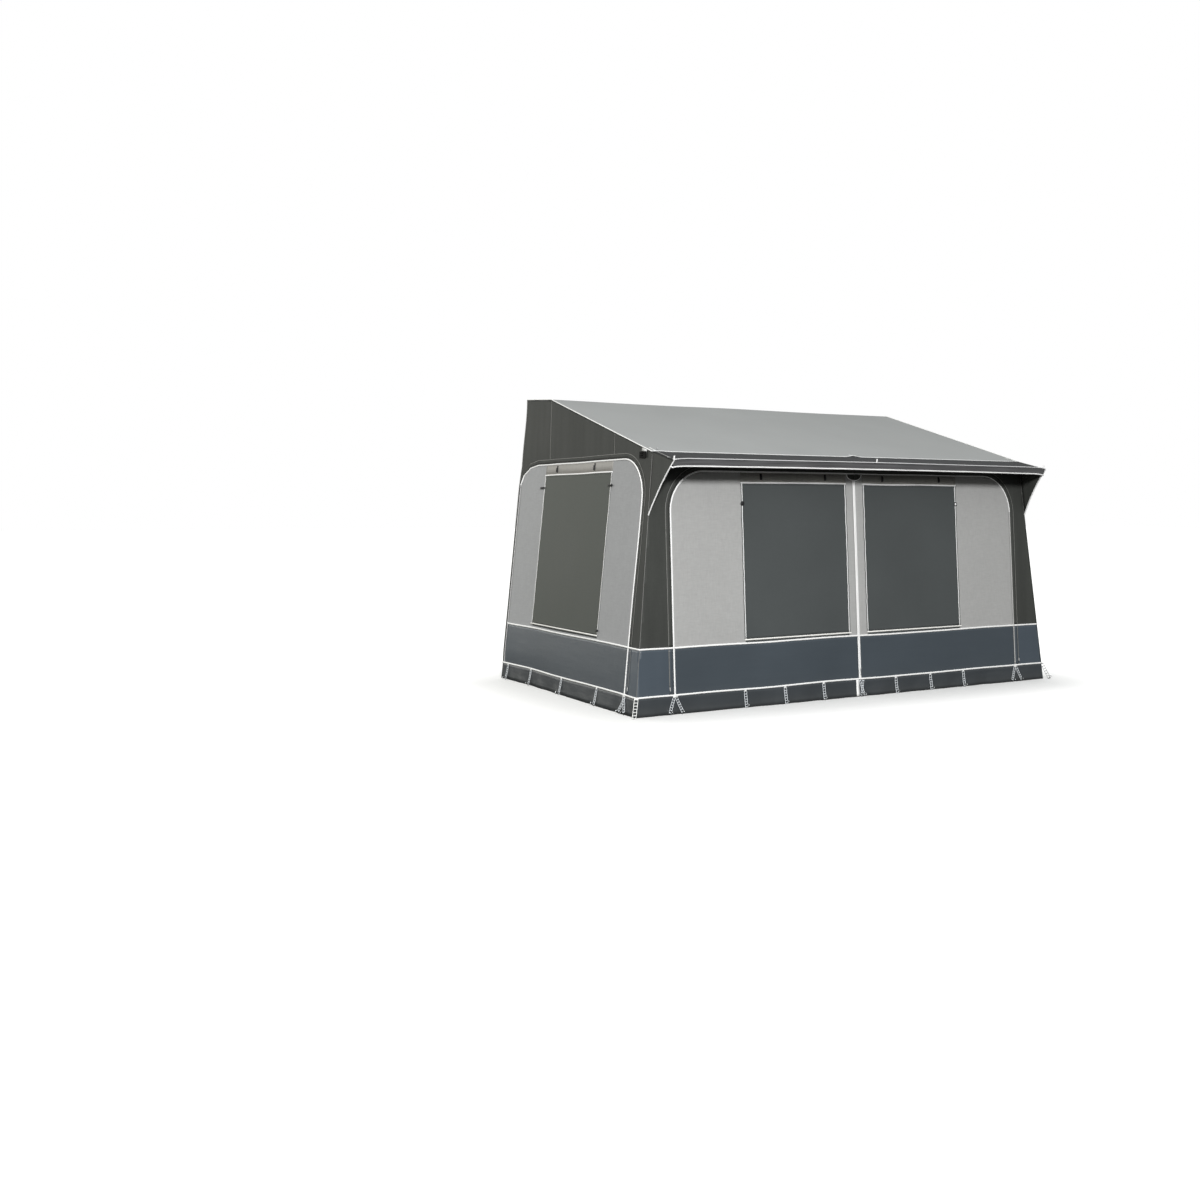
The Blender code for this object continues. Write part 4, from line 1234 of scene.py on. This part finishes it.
# Centre zip: a white tape along each front door's inner edge, with a row of moulded teeth. The
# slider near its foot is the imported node.
tape_width = 0.0125
tooth_pitch = 0.009
tooth_size = Matrix.Diagonal((0.0042, 0.0026, 0.0036, 1))
zip_low = flap_height + 0.004
zip_high = front_door_top - 0.004
front_up = Vector((0, front_lean, eave_height)).normalized()
zip_turn = Matrix((Vector((1, 0, 0)), -front_out, front_up)).transposed().to_4x4()
whole_front = (front_wall, front_out)
for side, hand in hands.items():
    body = f"front_{side}_door"
    middle = hand * (seam + tape_width / 2)
    tape = [(middle, zip_low), (middle, zip_high)]
    tape_place = {"out": 0.0016, "thick": 0.0015}
    tape_name = f"centre_zip_tape_{side}"
    ribbon(tape_name, tape, tape_width, whole_front, white_finish, "white_trim", body, **tape_place)
    teeth = bmesh.new()
    for index in range(int((zip_high - zip_low) / tooth_pitch)):
        height = zip_low + tooth_pitch * (index + 0.5 + 0.25 * hand)
        tooth = Matrix.Translation(front_wall(hand * (seam + 0.0024), height, 0.0018)) @ zip_turn @ tooth_size
        bmesh.ops.create_cube(teeth, size=1, matrix=tooth)
    bevel = {"offset": 0.0006, "affect": "EDGES", "segments": 1, "profile": 0.5, "material": -1}
    bmesh.ops.bevel(teeth, geom=teeth.edges[:], **bevel)
    fasten(net_object(f"centre_zip_teeth_{side}", teeth, white_finish), body, "white_trim")


# Peg ladders: soft light rubber strips with six holes, sewn to the mud flap and pulled out to
# the ground, each held by a steel peg through its last hole.
ladder_length = 0.130
ladder_half = 0.014
ladder_wall = 0.0025
ladder_rung = 0.005
ladder_hole = 0.0155
ladder_pitch = 0.020
ladder_tilt = math.radians(81)
side_ladder_tilt = math.radians(77)
corner_strap_tilt = math.radians(64)
ladder_top = 0.006 + ladder_length * math.sin(ladder_tilt)
ladder_bow = 0.002
ladder_out = 0.0042
outer_ladder_out = 0.0082
tab_place = {"out": 0.0060, "thick": 0.0015}
rubber_finish = trim_finish("ladder_rubber", (0.66, 0.69, 0.72), 0.6, blotch=0.08, scale=40.0)
webbing_finish = trim_finish("white_webbing", (0.74, 0.75, 0.74), 0.75, blotch=0.10, scale=60.0)
# The right corner's strap is the white webbing painted dark grey: painted shade.
shaded_webbing_finish = trim_finish("worn_webbing", (0.30, 0.31, 0.31), 0.75, blotch=0.10, scale=60.0)
ladder_holes = []
for index in range(6):
    first = ladder_rung + 0.003 + index * ladder_pitch
    ladder_holes.append((-0.0100, 0.0100, first, first + ladder_hole))


def soften(obj, width, segments):
    """Rounds a piece's edges. Its finish doesn't read the map of its cut, which is dropped."""
    obj.data.uv_layers.remove(obj.data.uv_layers["cut"])
    soft = obj.modifiers.new("soft_edges", "BEVEL")
    soft.width = width
    soft.segments = segments
    soft.limit_method = "ANGLE"


def add_ladder(
    name, start, out, turn=0, finish=rubber_finish, tilt=ladder_tilt, size=1.0, wide=1.0, twist=False
):
    """A ladder that leans out from its top.

    Turn is how many degrees it is splayed to one side along the wall. A twisted one stands edge on.
    """
    down = out * math.cos(tilt) - Vector((0, 0, math.sin(tilt)))
    across = out.cross(Vector((0, 0, 1)))
    down = (down + across * math.tan(math.radians(turn))).normalized()
    across = (across - down * across.dot(down)).normalized()
    normal = across.cross(down)
    if normal.z < 0:
        normal = -normal
    if twist:
        across, normal = normal, across

    def place(a, b):
        bow = ladder_bow * math.sin(math.pi * b / ladder_length)
        return start + (across * a * wide + down * b - normal * bow) * size

    outline = rectangle(-ladder_half, ladder_half, 0, ladder_length)
    net = cut_on(place, outline, size=0.011, windows=ladder_holes)
    strip = sew(name, net, normal, finish, None, ["mud_flap"], wall=ladder_wall)
    strip.data.shade_flat()
    soften(strip, 0.0005, 1)
    hold = place(0, ladder_length - ladder_rung - 0.009)
    lean = out.normalized() * 0.012
    shank = []
    for height, along in ((0, 0), (0.016, 0.5), (0.028, 1), (0.033, 1.6), (0.030, 2.2), (0.022, 2.4)):
        shank.append(Vector((hold.x, hold.y, height)) + lean * along)
    tube_along(f"peg_{name}", shank, 0.0028, steel_finish, "steel")


def ladder_tab(name, place, width, wall):
    """The webbing tab that sews a ladder to the flap."""
    path = [(place, flap_height - 0.004), (place, ladder_top - 0.008)]
    ribbon(name, path, width, wall, webbing_finish, **tab_place)


single_ladders = (-1.170, -0.781, -0.389, 0.389, 0.781, 1.170)
front_ladders = [(x, 0, ladder_out, 1.0) for x in single_ladders]
for centre in (-1.82, 1.82):
    front_ladders += [(centre - 0.007, 23, ladder_out, 0.86), (centre + 0.007, -23, ladder_out, 0.86)]
front_ladders += [(-0.006, -15, ladder_out, 0.75), (0.027, 15, outer_ladder_out, 0.75)]
for index, (x, turn, lift, wide) in enumerate(sorted(front_ladders)):
    start = front_wall(x, ladder_top, lift)
    add_ladder(f"ladder_front_{index + 1}", start, Vector((0, -1, 0)), turn, wide=wide)
front_tabs = [(-1.82, 0.045), (1.82, 0.036), *((x, 0.020) for x in single_ladders)]
for index, (x, width) in enumerate(front_tabs):
    ladder_tab(f"ladder_front_tab_{index + 1}", x, width, whole_front)
zip_strap = [(-0.029, flap_height - 0.002), (-0.031, 0.006)]
ribbon("centre_zip_strap", zip_strap, 0.031, whole_front, white_finish, out=0.0024, thick=0.002)
side_ladders = [(0.100, 0), (0.531, 0), (1.130, 0), (1.759, 0), (2.190, 24), (2.210, -24)]
# The right corner strap's dark grey is painted shade.
right_strap = {"finish": shaded_webbing_finish, "wide": 0.8, "twist": True}
corner_straps = {"left": {"finish": webbing_finish}, "right": right_strap}
for side, hand in hands.items():
    for index, (reach, turn) in enumerate(side_ladders):
        name = f"ladder_{side}_{index + 1}"
        start = walls["side", side][0](reach, ladder_top, ladder_out)
        add_ladder(name, start, Vector((hand, 0, 0)), hand * turn, tilt=side_ladder_tilt)
        ladder_tab(f"{name}_tab", reach, 0.020, walls["side", side])
    top = flap_height - 0.002
    start = at(hand * (side_width(eave_reach, top) + 0.002), front_reach(top) + 0.002, top)
    out = Vector((hand, -1, 0)).normalized()
    add_ladder(f"corner_strap_{side}", start, out, tilt=corner_strap_tilt, size=1.2, **corner_straps[side])


# Seams and small fittings on the walls: gable seams, roll-up toggles, the moon-shaped patches
# over the zip's head, and a strap and buckle at each roof corner.
black_finish = trim_finish("black_webbing", (0.012, 0.012, 0.013), 0.6, blotch=0.2, scale=40.0)
buckle_finish = trim_finish("buckle_plastic", (0.003, 0.003, 0.003), 0.7, blotch=0.2, scale=40.0, gloss=0.12)
seam_finish = trim_finish("corner_welt", (0.17, 0.17, 0.165), 0.55, blotch=0.08)
pale_finish = trim_finish("pale_welt", (0.30, 0.30, 0.29), 0.55, blotch=0.08)
snap_profile = [(0, 0), (0.0105, 0), (0.0105, 0.002), (0.008, 0.0035), (0.006, 0.005), (0, 0.005)]
ring_profile = [(0.011, 0), (0.018, 0), (0.018, 0.0015), (0.015, 0.0028), (0.011, 0.0028), (0.011, 0)]
blind_toggles = ((1, 0.410, 0.485, 1.752), (2, 1.655, 1.725, 1.755), (3, 1.675, 1.705, 0.585))
moon_low = front_door_top - 0.009
moon_radii = (0.078, 0.050)
roof_top, canopy_top = (on_roof, (0, 0, 1)), (on_canopy, (0, 0, 1))
tab_top = roof_line(2.175) - 0.004
buckle_low = tab_top - 0.074
corner_seam_steps = 64


def toggle(name, wall, a, top, length, body):
    """A strap that hangs from the door's top, with a bar through it."""
    strap = [(a, top), (a, top - length)]
    ribbon(f"{name}_strap", strap, 0.018, wall, black_finish, body=body, out=0.005, thick=0.002)
    ends = [wall[0](a, top - length * share, 0.0095) for share in (0.30, 0.95)]
    rounded_bar(f"{name}_bar", *ends, 0.007, black_finish, "clamp_plastic", body)


def moon_out(a):
    return 0.0035 + 0.011 * bell(a, 0.024)


for side in hands:
    for number, reach in ((1, break_reach), (2, gable_seam_reach)):
        name = f"gable_seam_{side}_{number}"
        path = [(reach, side_door_top + 0.008), (reach, roof_line(reach) - 0.006)]
        ribbon(name, path, 0.005, walls["side", side], grey_finish, "dark_cloth", out=0.0008, thick=0.0008)

for side, hand in hands.items():
    on_front = walls["front", side][0]
    on_side = walls["side", side][0]
    body, side_body = f"front_{side}_door", f"side_{side}_door"
    for number, a in ((1, 0.31), (2, 0.96)):
        top = front_door_top - 0.016
        toggle(f"front_toggle_{side}_{number}", walls["front", side], a, top, 0.048, body)
    spot = on_front(1.15, 1.61, 0.0068)
    snap_finish = black_finish if side == "left" else white_finish
    snap_parts = (("snap_ring", ring_profile, black_finish), ("snap", snap_profile, snap_finish))
    for part, profile, finish in snap_parts:
        turned(f"front_{part}_{side}", profile, spot, front_out, finish, "clamp_plastic", body=body)
    for number, a in ((1, 0.69), (2, 1.38)):
        top = side_door_top - 0.014
        toggle(f"side_toggle_{side}_{number}", walls["side", side], a, top, 0.062, side_body)
    for number, start, end, b in blind_toggles:
        name = f"side_blind_toggle_{side}_{number}"
        ends = [on_side(a, b, 0.011) for a in (start, end)]
        rounded_bar(name, *ends, 0.0085, black_finish, "clamp_plastic", side_body)

    moon = [(max(a, 0.001), b) for a, b in arc((0, moon_low), moon_radii, 0, -90)]
    moon_cut = [(0.001, moon_low), *moon[:-1], (0.001, moon[-1][1])]
    moon_net = cut_on(lambda a, b: on_front(a, b, moon_out(a)), moon_cut, size=0.012)
    patch = sew(f"zip_patch_{side}", moon_net, front_out, dark_finish, "dark_cloth", body=body)
    moon_edge = [on_front(a, b, moon_out(a)) for a, b in moon]
    tube_along(f"zip_patch_piping_{side}", moon_edge, 0.0045, body=body)
    declare(patch, "laid", [f"front_{side}_panel_cloth"])

    fold_line = []
    for step in range(corner_seam_steps):
        share = step / (corner_seam_steps - 1)
        fold_line.append(fold_at(hand, flap_height + (eave_height - 0.02 - flap_height) * share))
    tube_along(f"corner_seam_{side}", fold_line, 0.0022, seam_finish, "dark_cloth")
    rear_line = [(0.004, flap_height), (0.004, wall_height - 0.012)]
    piping(f"rear_piping_{side}", rear_line, on_side, 0.0035, pale_finish, "dark_cloth")
    tie = [(hand * 1.940, 2.302), (hand * 1.952, 2.50)]
    ribbon(f"corner_tie_{side}", tie, 0.008, canopy_top, pale_finish, out=0.003, thick=0.0015)
    spot = on_canopy(hand * 1.952, 2.512, 0.001)
    turned(f"corner_tie_ring_{side}", eyelet_profile, spot, canopy_slope, steel_finish, "steel")
    tab = [(hand * 1.925, 2.17), (hand * 1.935, 2.285)]
    ribbon(f"roof_tab_{side}", tab, 0.014, roof_top, webbing_finish, out=0.003, thick=0.002)
    strap = [(2.178, tab_top), (2.172, tab_top - 0.026)]
    ribbon(f"roof_strap_{side}", strap, 0.075, walls["side", side], webbing_finish, out=0.0035, thick=0.002)
    slots = [(2.138, 2.197, low, low + 0.008) for low in (buckle_low + 0.012, buckle_low + 0.030)]
    buckle_outline = rectangle(2.120, 2.215, buckle_low, buckle_low + 0.050)
    buckle_net = cut_on(lambda a, b: on_side(a, b, 0.013), buckle_outline, size=0.02, windows=slots)
    name = f"roof_buckle_{side}"
    buckle = sew(name, buckle_net, side_out(hand), buckle_finish, "clamp_plastic", wall=0.007)
    soften(buckle, 0.0012, 2)


# Frame: galvanised steel tubes with black moulded heads, clamps, feet and wall brackets. These
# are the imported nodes, with their finishes.
plastic_finish = trim_finish("clamp_plastic", (0.018, 0.018, 0.02), 0.45, 0.2, scale=30.0, grain=1500.0)
steel_nodes = ["zip_slider", "canopy_bar", "front_pole_left", "front_pole_right"]
plastic_nodes = []
for spot in spots:
    steel_parts = ("leg_sleeve", "leg_lower", "roof_pole", "roof_pole_tail", "canopy_socket")
    steel_nodes += [f"{part}_{spot}" for part in steel_parts]
    plastic_nodes += [f"leg_lever_{spot}", f"wall_bracket_{spot}"]
finish_nodes = ((white_finish, ["rail_bead"]), (steel_finish, steel_nodes), (plastic_finish, plastic_nodes))
for finish, nodes in finish_nodes:
    for node in nodes:
        frame["nodes"][node].data.materials.clear()
        frame["nodes"][node].data.materials.append(finish)

visual_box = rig.bounds()
boxes = {"cad": [list(corner) for corner in cad_box], "visual": [list(corner) for corner in visual_box]}
with open("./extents.json", "w") as size_file:
    json.dump(boxes, size_file)
